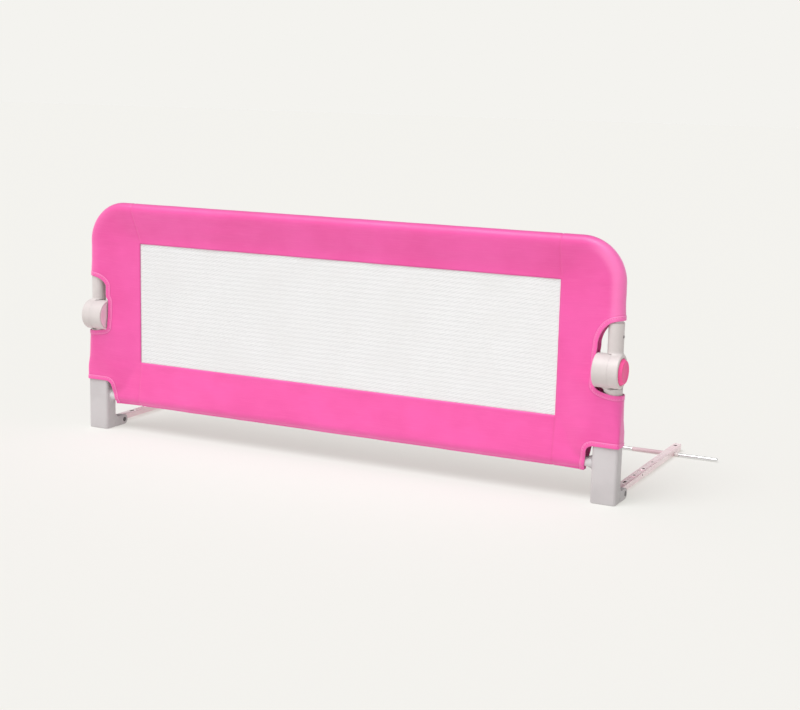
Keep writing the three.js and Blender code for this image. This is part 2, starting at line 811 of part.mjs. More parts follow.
function crossRod() {
  const [r, end] = [rodDiameter / 2, legOuter + rodOverhang];
  const profile = [];
  for (let i = 0; i <= arcSteps / 2; i += 1) {
    const turn = (Math.PI / 2) * (i / (arcSteps / 2));
    profile.push([r * Math.sin(turn), -end + r * (1 - Math.cos(turn))]);
  }
  const other = profile.map(([radius, x]) => [radius, -x]).reverse();
  return turnedX([...profile, ...other], rodY, rodZ, smallSides);
}

function ringX(radius, bore, x0, x1, y, z) {
  return cut(barX(radius, x0, x1, y, z), barX(bore, x0 - overrun, x1 + overrun, y, z));
}

function rodSleeve() {
  const end = armInner - fit;
  return ringX(rodSleeveDiameter / 2, rodDiameter / 2 + fit, end - rodSleeveLength, end, rodY, rodZ);
}

function rodClip() {
  const start = armOuter + fit;
  return ringX(rodClipDiameter / 2, rodDiameter / 2 + fit, start, start + rodClipLength, rodY, rodZ);
}

// One ring of a bag round a tube or leg at centre, rounded on the outward side. edge is its place at the
// window and mid a place on the way there, each with its own half thickness.
function bagRing({ centre, outward, edge, edgeHalf, mid, midHalf, width, half, square = 1 }) {
  const points = [];
  const put = (place, y) => {
    const point = new THREE.Vector3(place.x, y, place.z);
    point.across = place.clone().sub(centre).dot(outward);
    points.push(point);
  };
  put(edge, -edgeHalf);
  put(mid, -midHalf);
  for (let i = 0; i <= arcSteps; i += 1) {
    const turn = (Math.PI / 2) * ((2 * i) / arcSteps - 1);
    const [c, s] = [Math.cos(turn), Math.sin(turn)];
    const place = centre.clone().addScaledVector(outward, width * Math.abs(c) ** (1 / square));
    put(place, half * Math.sign(s) * Math.abs(s) ** (1 / square));
  }
  put(mid, midHalf);
  put(edge, edgeHalf);
  return points;
}

// A ring like that which lies level, round an upright tube or leg.
function levelRing({ z, centreX, edgeX, midX, ...sizes }) {
  const at = (x) => new THREE.Vector3(x, 0, z);
  return bagRing({
    centre: at(centreX), outward: new THREE.Vector3(1, 0, 0), edge: at(edgeX), mid: at(midX), ...sizes,
  });
}

// Rings of the upper cover from one fold line over the top to the other; skin is 0 outside and the
// thickness of the cloth inside.
function upperRings(skin) {
  const seam = skin > 0 ? windowSeam : 0;
  const trim = skin > 0 ? overrun : 0;
  const edgeHalf = windowEdgeHalf - skin;
  const r = coverR - skin;
  const sleeveBag = sleeveR + fit + cloth - skin;
  const side = (z, midHalf, radius) => levelRing({
    z,
    centreX: tubeX,
    edgeX: windowHalf + seam,
    midX: cutoutMid,
    edgeHalf,
    midHalf: midHalf - skin,
    width: radius,
    half: radius,
  });
  const edge = new THREE.Vector3(windowHalf + seam, 0, windowTop + seam);
  const corner = new THREE.Vector3(windowHalf, 0, windowTop);
  const midShare = (tubeX - cutoutMid) / (tubeX - windowHalf);
  const bend = (centre, outward) => bagRing({
    centre,
    outward,
    edge,
    edgeHalf,
    mid: centre.clone().lerp(corner, midShare),
    midHalf: panelHalf - skin,
    width: r,
    half: r,
  });
  const rings = [
    side(foldZ + foldGap / 2 - trim, hingeHalf, sleeveBag),
    side(cutoutTop + overrun, (hingeHalf + panelHalf) / 2, sleeveBag),
    side((cutoutTop + bendZ) / 2, panelHalf, r),
  ];
  for (let i = 0; i <= bendSteps; i += 1) {
    const turn = (Math.PI / 2) * (i / bendSteps);
    const outward = new THREE.Vector3(Math.cos(turn), 0, Math.sin(turn));
    rings.push(bend(new THREE.Vector3(bendX, 0, bendZ).addScaledVector(outward, tubeBend), outward));
  }
  rings.push(bend(new THREE.Vector3(edge.x, 0, topTubeZ), new THREE.Vector3(0, 0, 1)));
  const other = rings.map((ring) => ring.map((point) => {
    const copy = new THREE.Vector3(-point.x, point.y, point.z);
    copy.across = point.across;
    return copy;
  })).reverse();
  return [...rings, ...other];
}

// Cut in the cover round a hinge, open to the outer edge.
function cutoutShape() {
  const shape = new THREE.Shape();
  const width = legOuter - cutoutInner;
  const far = legOuter + discRadius;
  shape.moveTo(far, cutoutBottom);
  shape.lineTo(legOuter, cutoutBottom);
  for (let i = 1; i <= arcSteps; i += 1) {
    const turn = (Math.PI / 2) * (i / arcSteps);
    shape.lineTo(
      legOuter - width * Math.sin(turn),
      cutoutBottom + cutoutBottomArc * (1 - Math.cos(turn)),
    );
  }
  for (let i = 0; i <= arcSteps; i += 1) {
    const turn = (Math.PI / 2) * (i / arcSteps);
    shape.lineTo(
      legOuter - width * Math.cos(turn),
      cutoutTop - cutoutTopArc * (1 - Math.sin(turn)),
    );
  }
  shape.lineTo(far, cutoutTop);
  shape.closePath();
  return shape;
}

// Notch in the cover's lower corner round a leg.
function notchShape() {
  const shape = new THREE.Shape();
  shape.moveTo(legOuter + discRadius, hemZ);
  shape.lineTo(notchTopX + notchRound, hemZ);
  shape.quadraticCurveTo(notchTopX, hemZ, notchTopX, hemZ - notchRound);
  shape.lineTo(notchBottomX, coverBottom);
  shape.lineTo(notchBottomX, -overrun);
  shape.lineTo(legOuter + discRadius, -overrun);
  shape.closePath();
  return shape;
}

function bothSides(shape) {
  const right = slabY(shape, -discRadius * 2, discRadius * 2);
  return [right, solid(mirrored(geometryOf(right)))];
}

function coverUpper() {
  return cut(loft(upperRings(0)), loft(upperRings(cloth)), ...bothSides(cutoutShape()));
}

// Lower cover's side: from the fold line down over the neck and the leg to the bottom hem.
function lowerSideRings(skin) {
  const seam = skin > 0 ? windowSeam : 0;
  const edgeHalf = windowEdgeHalf - skin;
  const round = neckR + clothEase + cloth - skin;
  const legHalf = legHalfDepth + clothEase + cloth - skin;
  const legWide = legWidth / 2 + clothEase + cloth - skin;
  const edgeX = windowHalf + seam;
  const neckRing = (z, midHalf) => levelRing({
    z,
    centreX: tubeX,
    edgeX,
    midX: cutoutMid,
    edgeHalf,
    midHalf: midHalf - skin,
    width: round + neckSideEase,
    half: round,
  });
  const legRing = (z, midHalf, half) => levelRing({
    z,
    centreX: legMid,
    edgeX,
    midX: legPanelMid,
    edgeHalf,
    midHalf: midHalf - skin,
    width: legWide,
    half,
    square: legSquare,
  });
  const hem = coverBottom + (skin > 0 ? bottomSeam : 0);
  return [
    neckRing(foldZ - foldGap / 2 + (skin > 0 ? overrun : 0), hingeHalf),
    neckRing(neckTop, legPanelHalf),
    neckRing(neckZoneBottom, legPanelHalf),
    legRing(legHeight + legBevel, legPanelHalf, legHalf),
    legRing(hemZ - overrun * 2, legPanelHalf, legHalf),
    legRing(hem, coverBottomHalf * 2, coverBottomHalf * 2 - skin),
  ];
}

// Lower cover's bottom band, round the crossbar; its rings stand across the rail.
function bandRings(skin) {
  const seam = skin > 0 ? windowSeam : 0;
  const reach = skin > 0 ? notchBottomX + flareLength * 2 : notchBottomX + overrun;
  const r = crossbarR + clothEase + cloth - skin;
  const ring = (x) => {
    const points = bagRing({
      centre: new THREE.Vector3(x, 0, crossbarZ),
      outward: new THREE.Vector3(0, 0, -1),
      edge: new THREE.Vector3(x, 0, windowBottom - seam),
      edgeHalf: windowEdgeHalf - skin,
      mid: new THREE.Vector3(x, 0, bandMidZ),
      midHalf: bandMidHalf - skin,
      width: r,
      half: r,
    });
    const lowest = points.reduce((low, point) => (point.z < low.z ? point : low));
    lowest.z = coverBottom + (skin > 0 ? bottomSeam : 0);
    lowest.across = crossbarZ - lowest.z;
    return points;
  };
  return [ring(-reach), ring(reach)];
}

function coverLower() {
  const outer = [loft(lowerSideRings(0)), loft(bandRings(0))];
  const inner = [loft(lowerSideRings(cloth)), loft(bandRings(cloth))];
  const twin = (body) => solid(mirrored(geometryOf(body)));
  return cut(
    union(outer[0], twin(outer[0]), outer[1]),
    inner[0],
    twin(inner[0]),
    inner[1],
    ...bothSides(cutoutShape()),
    ...bothSides(notchShape()),
  );
}

// White net of the window between z0 and z1: upright and level strands that leave rows of gaps.
function net(z0, z1, rows) {
  const half = windowHalf - fit;
  const [stepX, stepZ] = [(half * 2 - netStrand) / netColumns, (z1 - z0 - netStrand) / rows];
  const strands = [];
  for (let i = 0; i <= netColumns; i += 1) {
    const x = -half + stepX * i;
    strands.push(box(x, x + netStrand, -netThickness / 2, netThickness / 2, z0, z1));
  }
  for (let j = 0; j <= rows; j += 1) {
    const z = z0 + stepZ * j;
    strands.push(box(-half, half, -netThickness / 2, netThickness / 2, z, z + netStrand));
  }
  return union(...strands);
}

const rail = new THREE.Group();
rail.position.y = groupY;

function addPiece(name, body, material) {
  const mesh = new THREE.Mesh(geometryOf(body), material);
  mesh.name = name;
  rail.add(mesh);
}

function addPair(name, body, material) {
  const geometry = geometryOf(body);
  const right = new THREE.Mesh(geometry, material);
  right.name = `right_${name}`;
  const left = new THREE.Mesh(mirrored(geometry), material);
  left.name = `left_${name}`;
  rail.add(left, right);
}

// Lower frame
addPair('leg', leg(), paint.grey);
addPair('post', post(), paint.tube);
addPiece('bottom_crossbar', crossbar(), paint.tube);
addPair('lower_hinge_housing', lowerHousing(), paint.white);
addPair('hinge_cap', hingeCap(), paint.white);
addPair('hinge_bolt', hingeBolt(), paint.steel);
addPair('hinge_nut', hingeNut(), paint.steel);
addPair('neck_screw', screwY(tubeX, neckScrewZ, neckR), paint.steel);
addPair('leg_screw', screwY(tubeX, legScrewZ, legHalfDepth), paint.steel);
addPair('arm_bolt', armBolt(), paint.steel);
addPair('arm_nut', armNut(), paint.steel);
addPair('button_spring', buttonSpring(), paint.steel);
addPiece('cover_lower', coverLower(), paint.pink);
addPiece('mesh_lower', net(windowBottom + fit, foldZ - foldGap / 2, netRowsLower), paint.mesh);

// Upper frame
addPiece('top_tube', topTube(), paint.tube);
addPair('side_tube', sideTube(), paint.tube);
addPair('upper_hinge_housing', upperHousing(), paint.white);
addPair('sleeve_screw', sleeveScrew(), paint.steel);
addPiece('cover_upper', coverUpper(), paint.pink);
addPiece('mesh_upper', net(foldZ + foldGap / 2, windowTop - fit, netRowsUpper), paint.mesh);

// Push buttons
addPair('button', button(), paint.button);
addPair('lock_gear', lockGear(), paint.gear);

// Under-mattress frame
addPair('arm', arm(), paint.arm);
addPiece('cross_rod', crossRod(), paint.steel);
addPair('rod_sleeve', rodSleeve(), paint.sleeve);
addPair('rod_clip', rodClip(), paint.sleeve);

export default rail;
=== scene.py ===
"""Looks of a folding bed guard rail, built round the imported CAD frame.

Lengths are in millimetres until a mesh is made."""
import json
import math

import bmesh
import bpy
import numpy as np
from mathutils import Matrix, Vector, noise


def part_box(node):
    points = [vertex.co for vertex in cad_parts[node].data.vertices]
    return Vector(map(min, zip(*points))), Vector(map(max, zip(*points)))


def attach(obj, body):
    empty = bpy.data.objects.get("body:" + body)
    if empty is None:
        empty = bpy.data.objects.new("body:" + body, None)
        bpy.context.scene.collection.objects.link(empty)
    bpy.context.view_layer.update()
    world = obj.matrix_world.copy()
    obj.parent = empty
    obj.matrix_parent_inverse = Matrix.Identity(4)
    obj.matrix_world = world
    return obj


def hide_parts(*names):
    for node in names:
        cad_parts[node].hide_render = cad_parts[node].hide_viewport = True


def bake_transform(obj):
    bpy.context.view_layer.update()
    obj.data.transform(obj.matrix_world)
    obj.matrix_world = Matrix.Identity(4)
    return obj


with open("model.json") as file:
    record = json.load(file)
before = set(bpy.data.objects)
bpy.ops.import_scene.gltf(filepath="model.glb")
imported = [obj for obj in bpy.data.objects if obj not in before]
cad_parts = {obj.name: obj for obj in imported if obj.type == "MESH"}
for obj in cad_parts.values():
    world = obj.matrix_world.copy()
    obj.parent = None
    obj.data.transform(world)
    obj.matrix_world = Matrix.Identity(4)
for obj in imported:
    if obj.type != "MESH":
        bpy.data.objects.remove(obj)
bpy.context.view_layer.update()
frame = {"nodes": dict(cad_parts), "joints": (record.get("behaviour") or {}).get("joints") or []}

MM = 0.001
# Play of a tube or a rod in its bore.
FIT = 0.3


def node_box(name):
    lo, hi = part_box(name)
    return np.array(lo) / MM, np.array(hi) / MM


# Places that the frame gives.
TOP_LO, TOP_HI = node_box("top_tube")
TUBE_Y = (TOP_LO[1] + TOP_HI[1]) / 2
TUBE_R = (TOP_HI[1] - TOP_LO[1]) / 2
TUBE_X = node_box("right_side_tube")[1][0] - TUBE_R
RAIL_TOP = node_box("cover_upper")[1][2]
COVER_R = RAIL_TOP - (TOP_LO[2] + TOP_HI[2]) / 2
TOP_Z = RAIL_TOP - COVER_R
BEND = 60
BEND_X = TUBE_X - BEND
BEND_Z = TOP_Z - BEND
WINDOW_X = node_box("mesh_upper")[1][0] + FIT
WINDOW_TOP = node_box("mesh_upper")[1][2] + FIT
WINDOW_LOW = node_box("mesh_lower")[0][2] - FIT
BAR_Z = (node_box("bottom_crossbar")[0][2] + node_box("bottom_crossbar")[1][2]) / 2
COVER_LOW = node_box("cover_lower")[0][2]
LEG_OUT = node_box("right_leg")[1][0]
LEG_TOP = node_box("right_leg")[1][2]
LEG_WIDE = 42
LEG_DEEP = 27.5
LEG_IN = LEG_OUT - LEG_WIDE
LEG_MID = LEG_OUT - LEG_WIDE / 2
FOLD = [j for j in frame["joints"] if j["name"] == "upper_fold"][0]["pos_m"]
FOLD_Y, FOLD_Z = FOLD[1] / MM, FOLD[2] / MM
FOLD_LIMIT = 150

# Cut-outs round the hinges and notches round the legs.
CUT_IN = TUBE_X - 27.6
CUT_TOP = FOLD_Z + 79.5
CUT_RIGHT = dict(top=CUT_TOP, low=FOLD_Z - 37.2, top_arc=52.5, low_arc=14, square=2.3, tuck=1.2)
CUT_LEFT = dict(top=FOLD_Z + 71.5, low=FOLD_Z - 29.4, top_arc=44.5, low_arc=8, square=2.8, tuck=4.8)
PAST_LEG = LEG_OUT + 40
HEM_Z = LEG_TOP - 20
NOTCH_TOP_X = LEG_IN - 10.5
NOTCH_LOW_X = LEG_IN - 14.5
NOTCH_ROUND = 13
CLOTH = 0.85
HEM_WIDTH = 7.4
HEM_RISE = 0.7
HEM_STEP = 0.35
STITCH_IN = 5.6
STITCH_HALF = 0.6
BELOW_FLOOR = -20


# Meshes and materials.

def linked(name, data):
    """New object in the scene."""
    obj = bpy.data.objects.new(name, data)
    bpy.context.scene.collection.objects.link(obj)
    return obj


def new_object(name, points, faces):
    """Smooth mesh object from points in mm."""
    mesh = bpy.data.meshes.new(name)
    places = [tuple(p) for p in np.asarray(points, float) * MM]
    mesh.from_pydata(places, [], [tuple(int(i) for i in f) for f in faces])
    mesh.validate()
    mesh.polygons.foreach_set("use_smooth", [True] * len(mesh.polygons))
    mesh.update()
    return linked(name, mesh)


def edge_angle(obj, degrees):
    """Smooth shading that stays sharp where faces meet at more than the angle."""
    mesh = obj.data
    bm = bmesh.new()
    bm.from_mesh(mesh)
    limit = math.radians(degrees)
    for face in bm.faces:
        face.smooth = True
    for edge in bm.edges:
        edge.smooth = len(edge.link_faces) == 2 and edge.calc_face_angle(math.pi) < limit
    bm.to_mesh(mesh)
    bm.free()
    return obj


def evaluated(obj):
    """Applies all modifiers of the object."""
    graph = bpy.context.evaluated_depsgraph_get()
    mesh = bpy.data.meshes.new_from_object(obj.evaluated_get(graph))
    obj.modifiers.clear()
    obj.data = mesh
    return obj


def boolean(base, operation, *others):
    """Joins the other pieces to the base or cuts them out of it, and removes them."""
    for other in others:
        modifier = base.modifiers.new("bool", "BOOLEAN")
        modifier.operation = operation
        modifier.solver = "EXACT"
        modifier.object = other
        evaluated(base)
        bpy.data.objects.remove(other)


def bevelled(obj, width, segments, angle):
    modifier = obj.modifiers.new("bevel", "BEVEL")
    modifier.width = width * MM
    modifier.segments = segments
    modifier.limit_method = "ANGLE"
    modifier.angle_limit = math.radians(angle)
    modifier.use_clamp_overlap = True
    return evaluated(obj)


def mirrored(obj, name):
    """Copy of a right-hand piece on the left."""
    mesh = obj.data.copy()
    mesh.transform(Matrix.Scale(-1, 4, (1, 0, 0)))
    mesh.flip_normals()
    return linked(name, mesh)


def on_axis(axis, along, a, b):
    """Point with a place along the axis, and a and b on the other two in their order."""
    point = [a, b]
    point.insert("xyz".index(axis), along)
    return point


def lathe(name, profile, axis, centre, sides, stretch=(1, 1)):
    """Closed turned shape. profile lists (radius, place along the axis), from pole to pole or as a loop.

    centre and stretch are those of the other two axes."""
    points, faces, rows = [], [], []
    for radius, place in profile:
        count = 1 if radius < 1e-6 else sides
        rows.append(range(len(points), len(points) + count))
        for i in range(count):
            turn = 2 * math.pi * i / sides
            a = centre[0] + radius * stretch[0] * math.cos(turn)
            b = centre[1] + radius * stretch[1] * math.sin(turn)
            points.append(on_axis(axis, place, a, b))
    for low, high in zip(rows, rows[1:]):
        for i in range(sides):
            j = (i + 1) % sides
            if len(low) == 1:
                faces.append((low[0], high[j], high[i]))
            elif len(high) == 1:
                faces.append((low[i], low[j], high[0]))
            else:
                faces.append((low[i], low[j], high[j], high[i]))
    return outward(new_object(name, points, faces))


def outward(obj):
    """Joins doubled points and turns every face outward."""
    bm = bmesh.new()
    bm.from_mesh(obj.data)
    bmesh.ops.remove_doubles(bm, verts=bm.verts, dist=1e-6)
    bmesh.ops.recalc_face_normals(bm, faces=bm.faces)
    bm.to_mesh(obj.data)
    bm.free()
    return obj


def prism(name, outline, axis, start, end):
    """Closed slab from an outline of the other two axes."""
    count = len(outline)
    points = [on_axis(axis, place, a, b) for place in (start, end) for a, b in outline]
    faces = [tuple(range(count)), tuple(range(2 * count - 1, count - 1, -1))]
    faces += [(i, (i + 1) % count, (i + 1) % count + count, i + count) for i in range(count)]
    return outward(new_object(name, points, faces))


def arc(a, b, radius, start, stop, steps):
    """Points of an arc about (a, b) between two turns in degrees."""
    turns = [math.radians(start + (stop - start) * i / steps) for i in range(steps + 1)]
    return [(a + radius * math.cos(turn), b + radius * math.sin(turn)) for turn in turns]


def rounded_outline(width, height, corner, centre, steps):
    points = []
    for quarter, (sx, sy) in enumerate(((1, 1), (-1, 1), (-1, -1), (1, -1))):
        a = centre[0] + sx * (width / 2 - corner)
        b = centre[1] + sy * (height / 2 - corner)
        points += arc(a, b, corner, 90 * quarter, 90 * quarter + 90, steps)
    return points


class Nodes:
    """Short way to write the nodes of a material or of the world."""

    def __init__(self, owner, shader="BsdfPrincipled", output="OutputMaterial"):
        owner.use_nodes = True
        self.owner = owner
        self.tree = owner.node_tree
        self.tree.nodes.clear()
        out = self.tree.nodes.new("ShaderNode" + output)
        self.shader = self.tree.nodes.new("ShaderNode" + shader)
        self.tree.links.new(self.shader.outputs[0], out.inputs[0])

    def feed(self, socket, value):
        if isinstance(value, bpy.types.NodeSocket):
            self.tree.links.new(value, socket)
        else:
            socket.default_value = value

    def set(self, **values):
        """Feeds the shader's sockets; an underscore stands for a space."""
        for key, value in values.items():
            self.feed(self.shader.inputs[key.replace("_", " ")], value)

    def node(self, kind, inputs=None, out=0, **settings):
        node = self.tree.nodes.new("ShaderNode" + kind)
        for key, value in settings.items():
            setattr(node, key, value)
        for key, value in (inputs or {}).items():
            self.feed(node.inputs[key], value)
        return node.outputs[out]

    def place(self):
        return self.node("TexCoord", out="Object")

    def attribute(self, name, out="Fac"):
        return self.node("Attribute", attribute_name=name, out=out)

    def split(self, vector):
        """The three parts of a vector."""
        return self.node("SeparateXYZ", {0: vector}).node.outputs

    def noise(self, vector, scale, detail):
        return self.node("TexNoise", {"Vector": vector, "Scale": scale, "Detail": detail, "Roughness": 0.55})

    def math(self, operation, a, b=0.0):
        return self.node("Math", {0: a, 1: b}, operation=operation)

    def add(self, a, b):
        return self.math("ADD", a, b)

    def times(self, a, b):
        return self.math("MULTIPLY", a, b)

    def range(self, value, low, high, to_low=0.0, to_high=1.0, smooth=True):
        return self.node(
            "MapRange",
            {"Value": value, "From Min": low, "From Max": high, "To Min": to_low, "To Max": to_high},
            interpolation_type="SMOOTHSTEP" if smooth else "LINEAR",
        )

    def mix(self, share, a, b):
        return self.node("Mix", {0: share, 6: a, 7: b}, out=2, data_type="RGBA")

    def bump(self, height, strength, distance):
        return self.node("Bump", {"Height": height, "Strength": strength, "Distance": distance})


def srgb(r, g, b):
    """Linear colour with alpha from a colour as screens show it."""
    def linear(c):
        c /= 255
        return c / 12.92 if c <= 0.04045 else ((c + 0.055) / 1.055) ** 2.4
    return (linear(r), linear(g), linear(b), 1)


def plastic(name, colour, deep, roughness, coat=0.0, gloss_level=0.5):
    """Moulded plastic: fine grain, slight unevenness of colour and of gloss."""
    m = Nodes(bpy.data.materials.new(name))
    place = m.place()
    tint = m.mix(m.range(m.noise(place, 18, 3), 0.35, 0.65), srgb(*colour), srgb(*deep))
    gloss = m.range(m.noise(place, 60, 4), 0.3, 0.7, roughness - 0.05, roughness + 0.07)
    grain = m.bump(m.noise(place, 900, 2), 0.25, 0.00004)
    m.set(Base_Color=tint, Roughness=gloss, Coat_Weight=coat, Normal=grain, Specular_IOR_Level=gloss_level)
    return m.owner


def steel(name, colour, roughness):
    """Bright drawn steel: faint lines along X."""
    m = Nodes(bpy.data.materials.new(name))
    lines = m.noise(m.node("Mapping", {"Vector": m.place(), "Scale": (8, 700, 700)}), 1, 3)
    deep = tuple(c * 0.86 for c in colour[:3]) + (1,)
    tint = m.mix(m.range(m.noise(m.place(), 22, 4), 0.4, 0.7), colour, deep)
    gloss = m.range(lines, 0.3, 0.7, roughness - 0.05, roughness + 0.09)
    m.set(Base_Color=tint, Roughness=gloss, Metallic=1.0, Normal=m.bump(lines, 0.2, 0.00003))
    return m.owner


def paint(name, colour, deep, roughness, peel_height=0.2, coat=0.3):
    """Powder paint on steel: low orange peel under a thin clear gloss."""
    m = Nodes(bpy.data.materials.new(name))
    place = m.place()
    cloud = m.noise(place, 14, 4)
    peel = m.bump(m.noise(place, 340, 2), peel_height, 0.00006)
    tint = m.mix(m.range(cloud, 0.4, 0.66), srgb(*colour), srgb(*deep))
    gloss = m.range(cloud, 0.3, 0.7, roughness - 0.04, roughness + 0.08)
    m.set(Base_Color=tint, Roughness=gloss, Coat_Weight=coat, Coat_Roughness=0.2, Normal=peel)
    return m.owner


def fabric():
    """Pink woven cover: paler hems, darker seams and pale stitches on a darker line, with a painted highlight
    along the upper side tubes and a painted shadow line and painted highlight line at the hem's step.
    """
    m = Nodes(bpy.data.materials.new("pink_cloth"))
    cloth = m.attribute("cloth", "Vector")
    weave_pitch, stitch_pitch = 0.62 * MM, 3.4 * MM
    across, rise, _ = m.split(cloth)
    threads = [m.math("SINE", m.times(way, 2 * math.pi / weave_pitch)) for way in (across, rise)]
    cloud = m.noise(cloth, 9, 4)
    slub = m.noise(m.node("Mapping", {"Vector": cloth, "Scale": (30, 700, 30)}), 1, 2)
    hem = m.attribute("hem")

    def line(place, wide, fade):
        """1 on the line at a distance in mm from the cut edge, and 0 beside it."""
        away = m.math("ABSOLUTE", m.math("SUBTRACT", hem, place * MM))
        return m.range(away, wide / 2, wide / 2 + fade, 1, 0)
    beat = m.math("FRACT", m.math("DIVIDE", m.attribute("run"), stitch_pitch))
    beat = m.math("ABSOLUTE", m.math("SUBTRACT", beat, 0.5))
    stitch = m.times(m.range(beat, 0.28, 0.36, 1, 0), line(STITCH_IN, 0.0005, 0.0002))
    base = m.mix(m.range(cloud, 0.35, 0.68), srgb(238, 76, 165), srgb(232, 68, 156))
    for share, colour in (
        (m.range(slub, 0.45, 0.75, 0, 0.2), srgb(248, 104, 180)),
        # painted highlight along the upper side tubes
        (m.attribute("taut"), srgb(255, 136, 200)),
        (m.range(m.attribute("seam"), 0.0004, 0.0019, 0.4, 0), srgb(222, 70, 145)),
        (m.range(hem, 0.0072, 0.0079, 0.25, 0), srgb(255, 112, 186)),
        # painted shadow: a darker line on the panel just past the hem's raised step
        (m.times(line(HEM_WIDTH + 1.3, 0.0006, 0.0008), 0.4), srgb(208, 62, 134)),
        # painted highlight: a pale line along the hem's raised step
        (m.times(line(HEM_WIDTH, 0.0005, 0.0004), 0.55), srgb(255, 152, 208)),
        (m.times(line(STITCH_IN, 0.0007, 0.0004), 0.35), srgb(205, 56, 130)),
        (m.times(stitch, 0.8), srgb(255, 158, 210)),
    ):
        base = m.mix(share, base, colour)
    height = m.add(m.times(m.times(*threads), 0.5), m.times(m.noise(cloth, 1400, 2), 0.6))
    m.set(
        Base_Color=base, Roughness=m.range(cloud, 0.3, 0.7, 0.42, 0.52), Normal=m.bump(height, 0.25, 0.00012),
        Specular_IOR_Level=0.75, Sheen_Weight=0.8, Sheen_Roughness=0.45, Sheen_Tint=srgb(255, 205, 235),
    )
    return m.owner


def net_material():
    """White knitted net: fine openings, and faint slanted dashes in rows where the knit lies thicker."""
    hole_wide, hole_high = 1.7 * MM, 1.5 * MM
    row_pitch, dash_pitch, dash_rise = 7.9 * MM, 9.8 * MM, 4.4 * MM
    m = Nodes(bpy.data.materials.new("white_net"))
    place = m.attribute("cloth", "Vector")
    across, rise, _ = m.split(place)
    column = m.math("DIVIDE", across, hole_wide)
    row = m.add(m.math("DIVIDE", rise, hole_high), m.times(m.math("FLOOR", column), 0.5))
    squares = []
    for way in (column, row):
        off = m.math("DIVIDE", m.math("SUBTRACT", m.math("FRACT", way), 0.5), 0.30)
        squares.append(m.times(off, off))
    away = m.math("SQRT", m.add(*squares))
    solid = m.range(away, 0.8, 1.15)
    bent = m.times(m.noise(place, 30, 2), 2.5)
    rows = m.math("SINE", m.add(m.times(rise, 2 * math.pi / row_pitch), bent))
    slant = m.add(m.times(across, 2 * math.pi / dash_pitch), m.times(rise, -2 * math.pi / dash_rise))
    wave = m.add(m.times(rows, 0.7), m.math("SINE", m.add(slant, bent)))
    tint = m.mix(m.range(wave, -1.6, 0.6), (0.75, 0.755, 0.77, 1), (0.92, 0.925, 0.94, 1))
    tint = m.mix(m.range(m.noise(place, 12, 3), 0.35, 0.7, 0, 0.4), tint, (0.83, 0.83, 0.835, 1))
    m.set(
        Base_Color=tint, Roughness=0.7, Sheen_Weight=0.2, Normal=m.bump(m.times(solid, away), 0.4, 0.0003),
        Alpha=m.range(solid, 0, 1, 0.25, 1, smooth=False),
    )
    return m.owner


MATERIALS = {
    "pink_fabric": fabric(),
    "white_mesh": net_material(),
    "grey_plastic": plastic("grey_moulding", (201, 196, 198), (193, 188, 190), 0.5, gloss_level=0.35),
    "white_plastic": plastic("white_moulding", (215, 207, 206), (207, 199, 198), 0.42),
    "pink_plastic": plastic("pink_moulding", (252, 94, 160), (244, 86, 152), 0.5, gloss_level=0.25),
    # This dark plastic is also used as painted shade on the walls of holes and recesses.
    "dark_plastic": plastic("dark_moulding_and_painted_shade", (58, 56, 58), (44, 42, 44), 0.42),
    "painted_tube": paint("tube_paint", (214, 211, 213), (204, 201, 203), 0.4),
    "painted_arm": paint("arm_paint", (253, 226, 231), (250, 217, 224), 0.3, peel_height=0.04, coat=1.0),
    "steel": steel("bright_steel", (0.72, 0.72, 0.73, 1), 0.22),
    "sleeve_rubber": plastic("sleeve_soft", (212, 188, 193), (204, 178, 184), 0.5),
    # Painted light: the cap's white is paler than the housings' white, to stand in for light in the shade
    # between disc and cloth.
    "cap_painted_light": plastic("cap_moulding_painted_light", (246, 232, 236), (240, 225, 230), 0.35),
    "screw_grey": plastic("zinc_screw", (150, 142, 144), (132, 124, 127), 0.35),
    # Painted shade: the steel bolt heads and nuts are coloured dark for the shade of the recesses they sit
    # in.
    "bolt_dark": plastic("bolt_painted_shade", (84, 80, 82), (64, 60, 62), 0.25, coat=0.4),
}


def dress(obj, slot, body, node, look=None):
    """Gives a piece its material and its body, and hides the node that it stands for."""
    if look or not obj.data.materials:
        obj.data.materials.clear()
        obj.data.materials.append(MATERIALS[look or slot])
    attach(obj, body)
    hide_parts(node)


def dress_frame():
    """Every CAD node gets the procedural material of its slot."""
    for node in frame["nodes"].values():
        old = node.material_slots[0].material.name
        slot = next(slot for slot in MATERIALS if old.startswith(slot))
        node.data.materials.clear()
        node.data.materials.append(MATERIALS[slot])


# Cover: one cloth surface round tubes, hinges' necks and legs.

def smooth_curve(keys):
    """Monotone cubic through (place, value) keys; flat beyond the ends."""
    keys = sorted(keys)
    x = np.array([k[0] for k in keys], float)
    y = np.array([k[1] for k in keys], float)
    step = np.diff(x)
    slope = np.diff(y) / step
    tangent = np.zeros(len(x))
    for i in range(1, len(x) - 1):
        if slope[i - 1] * slope[i] > 0:
            w1, w2 = 2 * step[i] + step[i - 1], step[i] + 2 * step[i - 1]
            tangent[i] = (w1 + w2) / (w1 / slope[i - 1] + w2 / slope[i])

    def value(at):
        at = np.clip(np.asarray(at, float), x[0], x[-1])
        i = np.clip(np.searchsorted(x, at, side="right") - 1, 0, len(x) - 2)
        t = (at - x[i]) / step[i]
        h00 = (1 + 2 * t) * (1 - t) ** 2
        h10 = t * (1 - t) ** 2
        h01 = t * t * (3 - 2 * t)
        h11 = t * t * (t - 1)
        return h00 * y[i] + h10 * step[i] * tangent[i] + h01 * y[i + 1] + h11 * step[i] * tangent[i + 1]
    return value


